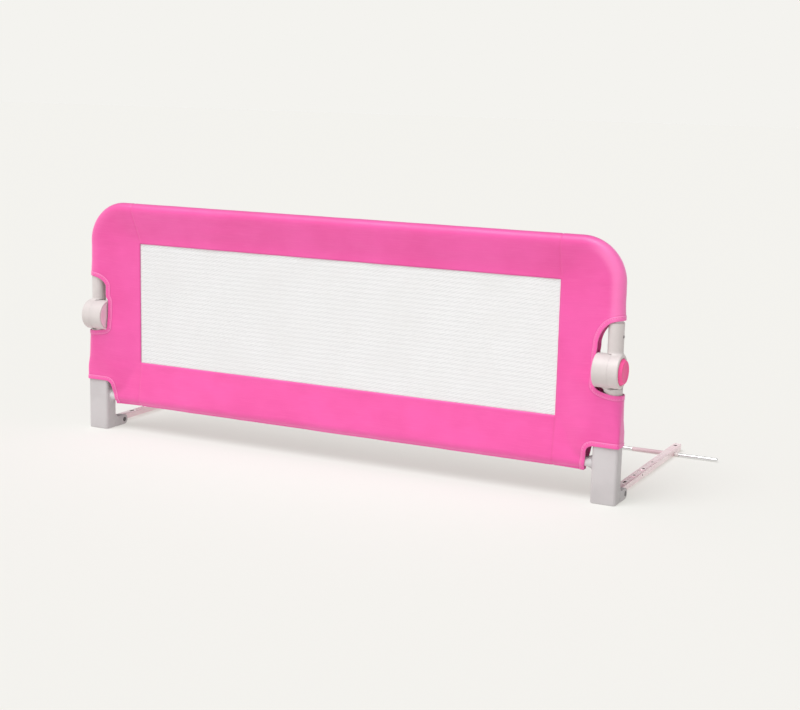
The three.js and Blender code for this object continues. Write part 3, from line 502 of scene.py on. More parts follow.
SLEEVE_BAG = 13.7
NECK_BAG = 15.9
LEG_BAG_WIDE = LEG_WIDE / 2 + 1.4
NECK_BAG_WIDE = LEG_MID + LEG_BAG_WIDE - TUBE_X
LEG_BAG_DEEP = LEG_DEEP / 2 + 1.4
LEG_PANEL = 14.6
NECK_TOP = FOLD_Z - 27.5
EDGE_HALF = 1.5
TOP_MID_SHARE, TOP_MID_HALF = 0.68, 8.8
# Steps of a ring over its flat panels and round its outside.
PANEL, WRAP = 22, 22

# Over the height: the ring's centre, half width, half depth and squareness, and the bulge of its flat panel.
side_centre = smooth_curve([(116, LEG_MID), (133, TUBE_X)])
side_wide = smooth_curve([
    (115, LEG_BAG_WIDE), (134, NECK_BAG_WIDE), (NECK_TOP, NECK_BAG_WIDE), (FOLD_Z, SLEEVE_BAG),
    (CUT_TOP, SLEEVE_BAG), (CUT_TOP + 28, COVER_R),
])
side_deep = smooth_curve([
    (COVER_LOW, 4.5), (HEM_Z - 4, LEG_BAG_DEEP), (115, LEG_BAG_DEEP), (134, NECK_BAG), (NECK_TOP, NECK_BAG),
    (FOLD_Z, SLEEVE_BAG), (CUT_TOP, SLEEVE_BAG), (CUT_TOP + 28, COVER_R),
])
side_square = smooth_curve([(114, 0.2), (136, 0.7), (NECK_TOP, 1)])
side_mid = smooth_curve([
    (COVER_LOW, 4.5), (HEM_Z - 4, LEG_PANEL), (LEG_TOP + 2.5, LEG_PANEL), (132, LEG_PANEL),
    (NECK_TOP, LEG_PANEL), (FOLD_Z, 11.5), (240, 10), (CUT_TOP, TOP_MID_HALF), (CUT_TOP + 30, TOP_MID_HALF),
])
side_mid_x = smooth_curve([(116, LEG_IN - 6), (133, TUBE_X - 27)])
band_half = smooth_curve([
    (COVER_LOW, 1.0), (COVER_LOW + 1.5, 2.0), (57, 7.6), (BAR_Z, 9.65), (70, 9.2), (92, 6.4),
    (WINDOW_LOW, EDGE_HALF),
])


def ring(centre, out_way, edge, mid_share, mid_half, wide, deep, power):
    """One U-shaped ring from the front edge at the window round the outside to the back edge.

    Points are (x, y from the tube plane, z). power is 1 for a round end and nearer 0 for a square one."""
    centre, out_way, edge = (np.array(v, float) for v in (centre, out_way, edge))
    half = smooth_curve([(0, EDGE_HALF), (mid_share, mid_half), (0.96, deep * 0.985), (1, deep)])
    share = np.linspace(0, 1, PANEL + 1)
    flat = edge[None] + (centre - edge)[None] * share[:, None]
    front = np.column_stack([flat[:, 0], -half(share), flat[:, 1]])
    turn = np.linspace(-math.pi / 2, math.pi / 2, 241)
    c, s = np.cos(turn), np.sin(turn)
    out = wide * np.abs(c) ** power
    y = deep * np.sign(s) * np.abs(s) ** power
    bow = np.column_stack([centre[0] + out_way[0] * out, y, centre[1] + out_way[1] * out])
    length = np.concatenate([[0], np.cumsum(np.linalg.norm(np.diff(bow, axis=0), axis=1))])
    even = np.linspace(0, length[-1], WRAP + 1)
    bow = np.column_stack([np.interp(even, length, bow[:, i]) for i in range(3)])
    back = front[::-1] * [1, -1, 1]
    return np.vstack([front[:-1], bow, back[1:]])


def level_ring(z):
    cx = float(side_centre(z))
    mid_share = (float(side_mid_x(z)) - WINDOW_X) / (cx - WINDOW_X)
    shape = (float(curve(z)) for curve in (side_mid, side_wide, side_deep, side_square))
    return ring((cx, z), (1, 0), (WINDOW_X, z), mid_share, *shape)


def round_ring(centre, out_way, edge):
    return ring(centre, out_way, edge, TOP_MID_SHARE, TOP_MID_HALF, COVER_R, COVER_R, 1)


def bend_ring(turn):
    out = np.array([math.cos(turn), math.sin(turn)])
    return round_ring(np.array([BEND_X, BEND_Z]) + BEND * out, out, (WINDOW_X, WINDOW_TOP))


def top_ring(x):
    return round_ring((x, TOP_Z), (0, 1), (min(x, WINDOW_X), WINDOW_TOP))


def spread(*stops):
    """Places from stop to stop at the given spacing: spread(start, step, end, step, end ...)."""
    places = [stops[0]]
    for step, end in zip(stops[1::2], stops[2::2]):
        count = max(1, round(abs(end - places[-1]) / step))
        start = places[-1]
        places += [start + (end - start) * (i + 1) / count for i in range(count)]
    return places


def cover_points():
    """Points and faces of the cover's surface: rings round the window and closed rows under it."""
    rise = spread(WINDOW_LOW, 3.6, 190, 2.6, 236, 4, BEND_Z)
    right = [level_ring(z) for z in rise[:-1]]
    right += [bend_ring(math.pi / 2 * i / 20) for i in range(21)]
    right += [top_ring(x) for x in spread((BEND_X + WINDOW_X) / 2, 1.5, WINDOW_X - 4, 9, 0)]
    rings = right + [r * [-1, 1, 1] for r in reversed(right[:-1])]
    per = len(rings[0])
    points = np.vstack(rings)
    faces = []
    for i in range(len(rings) - 1):
        for j in range(per - 1):
            a, b = i * per + j, i * per + j + 1
            faces.append((a, b, b + per, a + per))
    # Rows below the window: right ring, back, left ring, front.
    columns = spread(WINDOW_X, 1.4, WINDOW_X - 4, 8.5, 0)
    columns = np.array(columns[1:] + [-x for x in reversed(columns[1:-1])])
    rows = []
    for z in spread(WINDOW_LOW, 4, 118, 3.4, 84, 3.4, 56, 1.5, COVER_LOW):
        right_ring = level_ring(z)
        half_here = float(band_half(z))
        soft = 1.2 * min(1, (WINDOW_LOW - z) / 10) + 0.001
        right_ring[:, 1] = np.sign(right_ring[:, 1]) * smooth_max(
            np.abs(right_ring[:, 1]), band_share(right_ring[:, 0]) * half_here, soft,
        )
        left_ring = (right_ring * [-1, 1, 1])[::-1]
        half_at = smooth_max(half_here, EDGE_HALF, soft)
        back = np.column_stack([columns, np.full(len(columns), half_at), np.full(len(columns), z)])
        rows.append(np.vstack([right_ring, back, left_ring, back * [-1, -1, 1]]))
    first = len(points)
    loop = len(rows[0])
    points = np.vstack([points] + rows)
    for i in range(len(rows) - 1):
        for j in range(loop):
            a, b = first + i * loop + j, first + i * loop + (j + 1) % loop
            faces.append((b, a, a + loop, b + loop))
    # Close the bottom between the front and the back.
    last = first + (len(rows) - 1) * loop
    left_start = last + per + len(columns)
    backs = range(last + per - 1, left_start + 1)
    fronts = [last] + list(range(last + loop - 1, left_start + per - 2, -1))
    faces += list(zip(backs, backs[1:], fronts[1:], fronts))
    for k in range(PANEL):
        for start in (last, left_start):
            faces.append((start + k, start + per - 1 - k, start + per - 2 - k, start + k + 1))
    return points, faces


def smooth_max(a, b, soft):
    return np.maximum(a, b) + np.maximum(soft - np.abs(a - b), 0) ** 2 / (4 * soft)


def band_share(x):
    """Share of the bottom band's fullness at x: whole up to the leg and gone past it."""
    return 1 - np.clip((np.asarray(x) - (NOTCH_LOW_X + 2)) / 12, 0, 1)


def cut_outline(top, low, top_arc, low_arc, square, tuck):
    """Outline of a cut-out round a hinge, from below to above.

    square is 2 for a round upper arc and more for a fuller one; tuck is how far the cloth closes in on the
    sleeve over the disc."""
    turns = [math.pi / 2 * i / 60 for i in range(61)]
    deep = LEG_OUT - CUT_IN
    points = [(LEG_OUT - deep * math.sin(t), low + low_arc * (1 - math.cos(t))) for t in turns]
    power = 2 / square
    for t in turns:
        x, z = LEG_OUT - deep * math.cos(t) ** power, top - top_arc * (1 - math.sin(t) ** power)
        points.append((max(x, CUT_IN + tuck * min(1, max(0, (z - FOLD_Z - 27) / 8))), z))
    return np.array([(PAST_LEG, low)] + points + [(PAST_LEG, top)])


def notch_outline():
    points = [(PAST_LEG, HEM_Z), (NOTCH_TOP_X + NOTCH_ROUND, HEM_Z)]
    for i in range(1, 13):
        t = i / 12
        a = np.array([NOTCH_TOP_X + NOTCH_ROUND, HEM_Z])
        b = np.array([NOTCH_TOP_X, HEM_Z])
        c = np.array([NOTCH_TOP_X, HEM_Z - NOTCH_ROUND])
        points.append(tuple((1 - t) ** 2 * a + 2 * t * (1 - t) * b + t * t * c))
    points.append((NOTCH_LOW_X, COVER_LOW))
    points.append((NOTCH_LOW_X, BELOW_FLOOR))
    return np.array(points)


def line_distance(points, line):
    """Least distance from each 2-D point to a polyline, and the run along it to the nearest place."""
    best = np.full(len(points), 1e9)
    run = np.zeros(len(points))
    before = 0
    for a, b in zip(line, line[1:]):
        way = b - a
        t = np.clip(((points - a) @ way) / (way @ way), 0, 1)
        away = np.linalg.norm(points - a - t[:, None] * way, axis=1)
        run = np.where(away < best, before + t * np.linalg.norm(way), run)
        best = np.minimum(best, away)
        before += np.linalg.norm(way)
    return best, run


def inside(points, polygon):
    x, z = points[:, 0], points[:, 1]
    result = np.zeros(len(points), bool)
    for (x1, z1), (x2, z2) in zip(polygon, np.roll(polygon, -1, axis=0)):
        crosses = (z1 > z) != (z2 > z)
        with np.errstate(divide="ignore", invalid="ignore"):
            at = (x2 - x1) * (z - z1) / (z2 - z1) + x1
        result ^= crosses & (x < at)
    return result


CUT_LINES = {1: cut_outline(**CUT_RIGHT), -1: cut_outline(**CUT_LEFT)}
NOTCH_LINE = notch_outline()


def hem_and_run(points):
    """Signed distance from the nearest cut edge, above 0 on the cloth, and the run along that edge."""
    flat = np.column_stack([np.abs(points[:, 0]), points[:, 2]])
    left = points[:, 0] < 0

    def reach(line, *closing):
        sign = np.where(inside(flat, np.vstack([line, *closing])), -1, 1)
        away, run = line_distance(flat, line)
        return sign * away, run
    cuts = [np.where(left, a, b) for a, b in zip(reach(CUT_LINES[-1]), reach(CUT_LINES[1]))]
    notch = reach(NOTCH_LINE, (PAST_LEG, BELOW_FLOOR))
    return np.minimum(cuts[0], notch[0]), np.where(cuts[0] < notch[0], cuts[1], notch[1])


def hem_field(points):
    return hem_and_run(points)[0]


def split_at(bm, field, level):
    """Cuts the faces along field == level; field maps an array of points to values."""
    bm.verts.ensure_lookup_table()
    points = np.array([v.co for v in bm.verts], float)
    values = field(points) - level
    values[np.abs(values) < 1e-3] = 0
    marked = {bm.verts[i] for i in np.nonzero(values == 0)[0]}
    bm.verts.index_update()
    edges = [e for e in bm.edges if values[e.verts[0].index] * values[e.verts[1].index] < 0]
    touched = set()
    for edge in edges:
        a, b = edge.verts
        va, vb = values[a.index], values[b.index]
        faces = set(edge.link_faces)
        _, vert = bmesh.utils.edge_split(edge, a, va / (va - vb))
        marked.add(vert)
        touched |= faces
    for vert in [v for v in marked if v.is_valid]:
        touched |= set(vert.link_faces)
    for face in touched:
        here = [v for v in face.verts if v in marked]
        if len(here) != 2:
            continue
        a, b = here
        if any(b in e.verts for e in a.link_edges if e in face.edges):
            continue
        bmesh.utils.face_split(face, a, b)


def ripple(point, scale, seed):
    return noise.noise(Vector(point) / scale + Vector((seed, seed * 1.7, -seed)))


def seam_distance(points):
    """Distance across the rail from the seams that run on from the window's upright edges."""
    x = points[:, 0]
    z = points[:, 2]
    beyond = np.maximum(z - WINDOW_TOP, WINDOW_LOW - z)
    lean = np.where((x < 0) & (z > WINDOW_TOP), np.clip((z - WINDOW_TOP) / 60, 0, 1) * 12, 0)
    away = np.abs(np.abs(x) - WINDOW_X - lean)
    return np.hypot(away, np.maximum(4 - beyond, 0) * 2)


def painted_highlight_share(points):
    """Painted highlight: how much paler the cloth is coloured along the upper side tubes, most of all on the
    right.
    """
    x, z = points[:, 0], points[:, 2]
    past_x, past_z = np.maximum(np.abs(x) - BEND_X, 0), np.maximum(z - BEND_Z, 0)
    off_line = np.hypot(past_x, past_z) - BEND
    over = np.clip((off_line + 12) / 11, 0, 1)
    side = np.clip((past_x - BEND / 6) / (BEND / 2), 0, 1)
    above = np.clip((z - (FOLD_Z + 58)) / 30, 0, 1)
    return over ** 2 * (3 - 2 * over) * side * above * np.where(x > 0, 0.5, 0.12)


def add_values(obj, name, kind, values):
    """Point attribute of a mesh."""
    layer = obj.data.attributes.new(name, kind, "POINT")
    field = "vector" if kind == "FLOAT_VECTOR" else "value"
    layer.data.foreach_set(field, values.astype(np.float32).ravel())


def cut_cloth():
    """The cover's surface cut at its edges: points, normals, faces and the edges of the rim."""
    points, faces = cover_points()
    bm = bmesh.new()
    verts = [bm.verts.new(p) for p in points]
    for face in faces:
        try:
            bm.faces.new([verts[i] for i in face])
        except ValueError:
            pass
    bmesh.ops.remove_doubles(bm, verts=bm.verts, dist=0.02)
    bmesh.ops.dissolve_degenerate(bm, edges=bm.edges, dist=0.01)
    bmesh.ops.recalc_face_normals(bm, faces=bm.faces)
    split_at(bm, hem_field, 0)
    bm.verts.index_update()
    bm.faces.ensure_lookup_table()
    centres = np.array([f.calc_center_median() for f in bm.faces])
    gone = hem_field(centres) < 0
    bmesh.ops.delete(bm, geom=[f for f, out in zip(bm.faces, gone) if out], context="FACES")
    levels = (2 * HEM_STEP, STITCH_IN - STITCH_HALF, STITCH_IN, STITCH_IN + STITCH_HALF)
    for level in levels + (HEM_WIDTH - HEM_STEP, HEM_WIDTH + HEM_STEP):
        split_at(bm, hem_field, level)
    bmesh.ops.delete(bm, geom=[v for v in bm.verts if not v.link_faces], context="VERTS")
    bm.verts.index_update()
    bm.normal_update()
    base = np.array([v.co for v in bm.verts])
    normals = np.array([v.normal for v in bm.verts])
    faces = [[v.index for v in f.verts] for f in bm.faces]
    loops = [e.link_loops[0] for e in bm.edges if len(e.link_faces) == 1]
    rims = [(loop.vert.index, loop.link_loop_next.vert.index) for loop in loops]
    bm.free()
    if np.mean((base[:, 1] < 0) * normals[:, 1]) > 0:
        normals = -normals
        faces = [f[::-1] for f in faces]
        rims = [(b, a) for a, b in rims]
    return base, normals, faces, rims


def make_cover():
    """Closed bag of cloth with raised hems, stitch lines, sunk seams and slack."""
    edge_dip, stitch_dip, stitch_wide, seam_dip, seam_wide = 0.45, 0.35, 0.35, 0.7, 1.5
    base, normals, faces, rims = cut_cloth()
    hem, run = hem_and_run(base)
    seam = seam_distance(base)
    rise = np.where(hem < HEM_WIDTH, HEM_RISE, 0)
    rise -= np.where(hem < HEM_STEP, edge_dip, 0)
    rise -= stitch_dip * np.exp(-((hem - STITCH_IN) / stitch_wide) ** 2)
    rise -= seam_dip * np.exp(-(seam / seam_wide) ** 2)
    free = np.clip(hem / 25, 0.15, 1)
    for index, p in enumerate(base):
        away = seam[index]
        wide = ripple(p, 55, 3.1) * 0.9 + ripple(p * [1, 1, 1.6], 24, 7.7) * 0.35
        pucker = ripple([p[0] * 0.25, p[1] * 0.5, p[2]], 5, 1.3) * 0.45 * math.exp(-(away / 9) ** 2)
        held = 0.3 + 0.7 * normals[index][1] ** 2
        rise[index] += (wide + pucker) * free[index] * held
    outer = base + normals * rise[:, None]
    outer[:, 2] = np.clip(outer[:, 2], COVER_LOW - 0.5, None)
    inner = base - normals * CLOTH
    count = len(base)
    points = np.vstack([outer, inner])
    points[:, 1] += TUBE_Y
    faces = faces + [[i + count for i in reversed(f)] for f in faces]
    faces += [(b, a, a + count, b + count) for a, b in rims]
    cover = new_object("fabric_cover", points, faces)
    for name, lengths in (("hem", hem), ("seam", seam), ("run", run)):
        add_values(cover, name, "FLOAT", np.tile(lengths, 2) * MM)
    # Share of the painted highlight along the upper side tubes.
    add_values(cover, "taut", "FLOAT", np.tile(painted_highlight_share(base), 2))
    # Cloth coordinates: across and up, slanted by the depth so that the weave goes on round the wraps.
    x, y, z = np.tile(base, (2, 1)).T
    add_values(cover, "cloth", "FLOAT_VECTOR", np.column_stack([x + y * 0.3, z + y * 0.6, y]) * MM)
    return cover


def make_net():
    """Net sheet of the window; it runs on under the cover's edge."""
    under, thick, slack = 6, 0.4, 1.5
    xs = spread(-WINDOW_X - under, 6.5, WINDOW_X + under)
    zs = spread(WINDOW_LOW - under, 6, 186, 3, 240, 6, WINDOW_TOP + under)
    nx, nz = len(xs), len(zs)
    points, faces = [], []
    for layer, side in enumerate((-1, 1)):
        for z in zs:
            for x in xs:
                share_x = min(1, (WINDOW_X + under - abs(x)) / 60)
                share_z = min(1, (z - WINDOW_LOW + under) / 40, (WINDOW_TOP + under - z) / 40)
                wave = ripple((x, 0, z * 0.5), 60, 2.2) * 1.6 + ripple((x, 0, z * 0.2), 18, 5.5) * 0.35
                y = max(-slack, min(slack, wave * share_x * share_z))
                points.append((x, TUBE_Y + y + side * thick / 2, z))
        for j in range(nz - 1):
            for i in range(nx - 1):
                a = (layer * nz + j) * nx + i
                face = (a, a + 1, a + 1 + nx, a + nx)
                faces.append(face[::-1] if layer else face)
    edge = list(range(nx)) + [j * nx + nx - 1 for j in range(1, nz)]
    edge += [(nz - 1) * nx + i for i in range(nx - 2, -1, -1)] + [j * nx for j in range(nz - 2, 0, -1)]
    for a, b in zip(edge, edge[1:] + edge[:1]):
        faces.append((b, a, a + nx * nz, b + nx * nz))
    net = outward(new_object("window_net", points, faces))
    place = np.array([v.co for v in net.data.vertices])
    flat = np.column_stack([place[:, 0], place[:, 2], np.zeros(len(place))])
    add_values(net, "cloth", "FLOAT_VECTOR", flat)
    return net


# Hard pieces, right side first.

ARM_LO, ARM_HI = node_box("right_arm")
ARM_X = (ARM_LO[0] + ARM_HI[0]) / 2
ARM_HALF = ARM_HI[0] - ARM_X
PIVOT_BACK, PIVOT_Z = 37.5, 9.3
BOLT_HOLE_R = 2.3
PIVOT = (TUBE_Y + PIVOT_BACK, PIVOT_Z)
ROD_LO, ROD_HI = node_box("cross_rod")
ROD = ((ROD_LO[1] + ROD_HI[1]) / 2, (ROD_LO[2] + ROD_HI[2]) / 2)
ROD_R = (ROD_HI[2] - ROD_LO[2]) / 2


def x_bar(name, radius, start, end, y, z, sides=32, edge=0.0):
    profile = [(0, start)]
    if edge:
        profile += arc(radius - edge, start + edge, edge, -90, 0, 3)
        profile += arc(radius - edge, end - edge, edge, 0, 90, 3)
    else:
        profile += [(radius, start), (radius, end)]
    profile.append((0, end))
    return lathe(name, profile, "x", (y, z), sides)


def z_bar(name, radius, start, end, x, y, sides):
    return lathe(name, [(0, start), (radius, start), (radius, end), (0, end)], "z", (x, y), sides)


def make_leg():
    """Leg with a flared collar for the crossbar and two cheeks that hold the arm."""
    corner, edge, socket_low = 5, 1.6, 24
    flare_r, tip_r, flare_long, bore_r, bore_deep = 18, 9.6, 8, 8.55, 6
    recess_r, recess_deep = 4.4, 2.6
    cheek_top, cheek_back, cheek_back_z, fillet, play = 23.5, 31, 18.5, 5, 0.4
    outline = rounded_outline(LEG_WIDE, LEG_DEEP, corner, (LEG_MID, TUBE_Y), 6)
    leg = prism("right_leg_moulding", outline, "z", 0, LEG_TOP)
    bevelled(leg, edge, 3, 60)
    flare = [(0, LEG_IN + 3), (flare_r, LEG_IN + 3)]
    for i in range(17):
        turn = math.pi / 2 * i / 16
        thin = (flare_r - tip_r) * math.sin(turn)
        flare.append((flare_r - thin, LEG_IN - flare_long * (1 - math.cos(turn))))
    bore_end = LEG_IN - flare_long + bore_deep
    flare += [(bore_r, LEG_IN - flare_long), (bore_r, bore_end), (0, bore_end)]
    squeeze = ((LEG_DEEP / 2 - 2.5) / flare_r, 1)
    collar = lathe("collar", flare, "x", (TUBE_Y, BAR_Z), 64, stretch=squeeze)
    back = TUBE_Y + LEG_DEEP / 2
    root = back - 3
    cheek = [(root, 1.0), (back, 0)] + arc(*PIVOT, PIVOT_Z, -90, 60, 16)
    cheek += [(TUBE_Y + cheek_back, cheek_back_z)]
    cheek += arc(back + fillet, cheek_top, fillet, 270, 180, 8) + [(root, cheek_top)]
    cheeks = []
    for start, end in ((LEG_IN, ARM_LO[0] - play), (ARM_HI[0] + play, LEG_OUT)):
        cheeks.append(bevelled(prism("cheek", cheek, "x", start, end), 0.7, 2, 40))
    boolean(leg, "UNION", collar, *cheeks)
    cuts = [
        z_bar("cut", TUBE_R + FIT, socket_low, LEG_TOP + 3, TUBE_X, TUBE_Y, 40),
        x_bar("cut", BOLT_HOLE_R, LEG_IN - 2, LEG_OUT + 2, *PIVOT),
    ]
    for start, end in ((LEG_IN - 2, LEG_IN + recess_deep), (LEG_OUT - recess_deep, LEG_OUT + 2)):
        cuts.append(x_bar("cut", recess_r, start, end, *PIVOT, 40))
    boolean(leg, "DIFFERENCE", *cuts)
    edge_angle(leg, 32)

    def in_recess(centre, normal):
        return math.hypot(centre.y - PIVOT[0], centre.z - PIVOT[1]) < recess_r + 0.1
    # Painted shade: the walls of the recesses round the arm's bolt are coloured dark.
    paint_hollow_shade(leg, "grey_plastic", in_recess)
    return leg


# Distances to solids, for the housings: joined with soft fillets and skinned.

def d_bar(a, b, along, radius, start, end, rounding=0.0):
    """Distance to a bar: a and b across, along its axis."""
    across = np.hypot(a, b) - (radius - rounding)
    reach = np.abs(along - (start + end) / 2) - ((end - start) / 2 - rounding)
    outside = np.hypot(np.maximum(across, 0), np.maximum(reach, 0))
    return outside + np.minimum(np.maximum(across, reach), 0) - rounding


def d_slab(p, lo, hi, rounding):
    away = [np.abs(p[i] - (lo[i] + hi[i]) / 2) - ((hi[i] - lo[i]) / 2 - rounding) for i in range(3)]
    outside = np.sqrt(sum(np.maximum(a, 0) ** 2 for a in away))
    return outside + np.minimum(np.maximum.reduce(away), 0) - rounding


def soft_union(a, b, soft):
    h = np.maximum(soft - np.abs(a - b), 0) / soft
    return np.minimum(a, b) - h * h * soft / 4


def skin(name, distance, lo, hi, step):
    """Closed quad mesh of the surface where distance is 0, with one point for each crossed cell."""
    axes = [np.arange(lo[i] - 1.5 * step, hi[i] + 2.5 * step, step) for i in range(3)]
    grid = np.meshgrid(*axes, indexing="ij")
    value = distance(grid)
    shape = value.shape
    inside_cell = value < 0
    corners = [(i, j, k) for i in (0, 1) for j in (0, 1) for k in (0, 1)]
    cut_count = np.zeros([n - 1 for n in shape])
    total = np.zeros([n - 1 for n in shape] + [3])

    def block(array, i, j, k):
        return array[i:i + shape[0] - 1, j:j + shape[1] - 1, k:k + shape[2] - 1]
    for first in corners:
        for axis in range(3):
            if first[axis]:
                continue
            second = list(first)
            second[axis] = 1
            va, vb = block(value, *first), block(value, *second)
            crossed = (va < 0) != (vb < 0)
            t = np.where(crossed, va / np.where(crossed, va - vb, 1), 0)
            for i in range(3):
                base = block(grid[i], *first)
                total[..., i] += np.where(crossed, base + (t * step if i == axis else 0), 0)
            cut_count += crossed
    active = cut_count > 0
    index = np.full(active.shape, -1)
    index[active] = np.arange(active.sum())
    points = total[active] / cut_count[active][:, None]
    for _ in range(3):
        here = [points[:, i] for i in range(3)]
        d = distance(here)
        nudge = 0.05
        gradient = np.column_stack([
            distance([here[k] + (nudge if k == i else 0) for k in range(3)])
            - distance([here[k] - (nudge if k == i else 0) for k in range(3)])
            for i in range(3)
        ]) / (2 * nudge)
        size = np.maximum((gradient ** 2).sum(1), 0.2)
        move = -(d / size)[:, None] * gradient
        longest = np.linalg.norm(move, axis=1)
        move *= np.minimum(1, 0.35 * step / np.maximum(longest, 1e-9))[:, None]
        points = points + move
    faces = []
    for axis in range(3):
        b, c = (axis + 1) % 3, (axis + 2) % 3
        low = [slice(1, n - 1) for n in shape]
        low[axis] = slice(0, shape[axis] - 1)
        high = list(low)
        high[axis] = slice(1, shape[axis])
        one, two = inside_cell[tuple(low)], inside_cell[tuple(high)]
        places = np.argwhere(one != two)
        starts = one[one != two]
        for spot, start_in in zip(places, starts):
            cell = spot.copy()
            for other in (b, c):
                cell[other] += 1
            quad = []
            for db, dc in ((0, 0), (1, 0), (1, 1), (0, 1)):
                at = cell.copy()
                at[b] -= db
                at[c] -= dc
                quad.append(index[tuple(at)])
            faces.append(quad if start_in else quad[::-1])
    return outward(new_object(name, points, faces))


# How far a form runs on into the next, and how far a hollow runs on past the part.
OVERLAP = 6
BEYOND = 60
DISC_R = 27
DISC_GAP_R = DISC_R + 0.6
DISC_IN = TUBE_X - 27
DISC_OUT = node_box("right_upper_hinge_housing")[1][0]
PART_GAP = 0.16
PART_LOW = TUBE_X - 2.08
PART_HIGH = PART_LOW + PART_GAP
NECK_R = 14.5
NECK_LOW = NECK_TOP - 27.5
SLEEVE_R = 12.5
SLEEVE_TOP = node_box("right_upper_hinge_housing")[1][2]
SLEEVE_WALL = 3.1
SLEEVE_STOP = FOLD_Z + 32.5
CAVITY_R, CAVITY_IN = 20, TUBE_X - 18.7
POCKET_R, POCKET_IN = 21.4, TUBE_X + 4.5
POST_TOP = NECK_TOP - 2.2
SCREW_Z = FOLD_Z + 54
SEAT_R, SEAT_IN = 2.9, TUBE_X + SLEEVE_R - 0.8
CAP_LO, CAP_HI = node_box("right_hinge_cap")
CAP_R = CAP_HI[2] - FOLD_Z
CAP_PLAY = 0.25


def off_fold(p):
    """Distance from the fold's axis."""
    return np.hypot(p[1] - FOLD_Y, p[2] - FOLD_Z)


def fold_bar(p, radius, start, end, rounding=0.0):
    """Distance to a bar about the fold's axis."""
    return d_bar(p[1] - FOLD_Y, p[2] - FOLD_Z, p[0], radius, start, end, rounding)


def tube_bar(p, radius, start, end, rounding=0.0):
    """Distance to a bar about the side tube."""
    return d_bar(p[0] - TUBE_X, p[1] - TUBE_Y, p[2], radius, start, end, rounding)


def upper_solid(p):
    """Outer half of the disc with its sleeve, before its hollows."""
    disc = fold_bar(p, DISC_R, PART_HIGH - OVERLAP, DISC_OUT, 2.0)
    sleeve = tube_bar(p, SLEEVE_R, FOLD_Z + 8, SLEEVE_TOP, 3.2)
    parting = np.minimum(PART_HIGH - p[0], DISC_GAP_R - off_fold(p))
    return np.maximum(soft_union(disc, sleeve, 5), parting)


def folded(p, degrees):
    """Where a place is in the upper frame's own rest position when the frame is folded."""
    x, y, z = p
    dy, dz = y - FOLD_Y, z - FOLD_Z
    c, s = math.cos(math.radians(degrees)), math.sin(math.radians(degrees))
    return x, FOLD_Y + c * dy + s * dz, FOLD_Z - s * dy + c * dz


def lower_housing_distance(p):
    """Inner half of the disc with its neck, cleared where the folded upper half comes to lie."""
    disc = fold_bar(p, DISC_R, DISC_IN, PART_LOW + OVERLAP, 1.2)
    neck = tube_bar(p, NECK_R, NECK_LOW, NECK_TOP + OVERLAP, 1.0)
    web = d_slab(
        p, (TUBE_X - NECK_R + 3, TUBE_Y - NECK_R + 1, NECK_TOP - 5),
        (PART_LOW + OVERLAP, TUBE_Y + NECK_R - 2, FOLD_Z - 10), 1.5,
    )
    body = soft_union(disc, soft_union(neck, web, 5), 6)
    parting = np.minimum(p[0] - PART_LOW, DISC_GAP_R - off_fold(p))
    relief = 0.35 + 0.25 * np.clip(off_fold(p) - DISC_R - 0.8, 0, 1)
    hollows = (
        parting,
        relief - upper_solid(folded(p, FOLD_LIMIT)),
        -fold_bar(p, CAVITY_R, CAVITY_IN, PART_LOW + BEYOND),
        -fold_bar(p, CAP_R + CAP_PLAY, DISC_IN - BEYOND, CAP_HI[0] + FIT),
        -tube_bar(p, TUBE_R + FIT, NECK_TOP - BEYOND, POST_TOP),
    )
    return np.maximum.reduce([body, *hollows])


def upper_housing_distance(p):
    """Outer half with the button's pocket, the sleeve's bore and the screw's seat."""
    pocket = fold_bar(p, POCKET_R, POCKET_IN, DISC_OUT + BEYOND, 0.4)
    # The bore is narrower than the tube in it: a wall under two grid steps thick would lose its shape.
    bore = tube_bar(p, SLEEVE_R - SLEEVE_WALL, SLEEVE_STOP, SLEEVE_TOP + BEYOND)
    seat = d_bar(p[1] - TUBE_Y, p[2] - SCREW_Z, p[0], SEAT_R, SEAT_IN, TUBE_X + BEYOND)
    return np.maximum.reduce([upper_solid(p), -pocket, -bore, -seat])


def crisp_parting(obj, plane):
    """Draws the rounded edge of a hinge half onto the true corner of its disc."""
    for vert in obj.data.vertices:
        x, y, z = vert.co / MM
        out = math.hypot(y - FOLD_Y, z - FOLD_Z)
        if abs(x - plane) < 0.7 and DISC_R - 1.0 < out < DISC_R + 0.25:
            share = DISC_R / out
            vert.co = Vector((plane, FOLD_Y + (y - FOLD_Y) * share, FOLD_Z + (z - FOLD_Z) * share)) * MM
    return obj


def make_button():
    """Push button: raised round rim about a shallow dish, and a skirt that slides in the housing."""
    face = node_box("right_button")[1][0]
    rim_r, rim_round, skirt_r, skirt_low, wall, cap_low = 17.1, 1.4, 20.8, DISC_OUT - 3, 2, face - 3.4
    profile = [(0, face - 1.0), (10, face - 0.95), (14.8, face - 0.75), (16.0, face - 0.3)]
    profile += arc(rim_r, face - rim_round, rim_round, 110, 15, 7)
    profile += [(19.3, face - 2.9), (20.4, DISC_OUT + 1.3), (skirt_r, DISC_OUT + 0.4), (skirt_r, skirt_low)]
    profile += [(skirt_r - wall, skirt_low), (skirt_r - wall, cap_low), (0, cap_low)]
    return edge_angle(lathe("right_push_button_cap", profile, "x", (FOLD_Y, FOLD_Z), 72), 40)


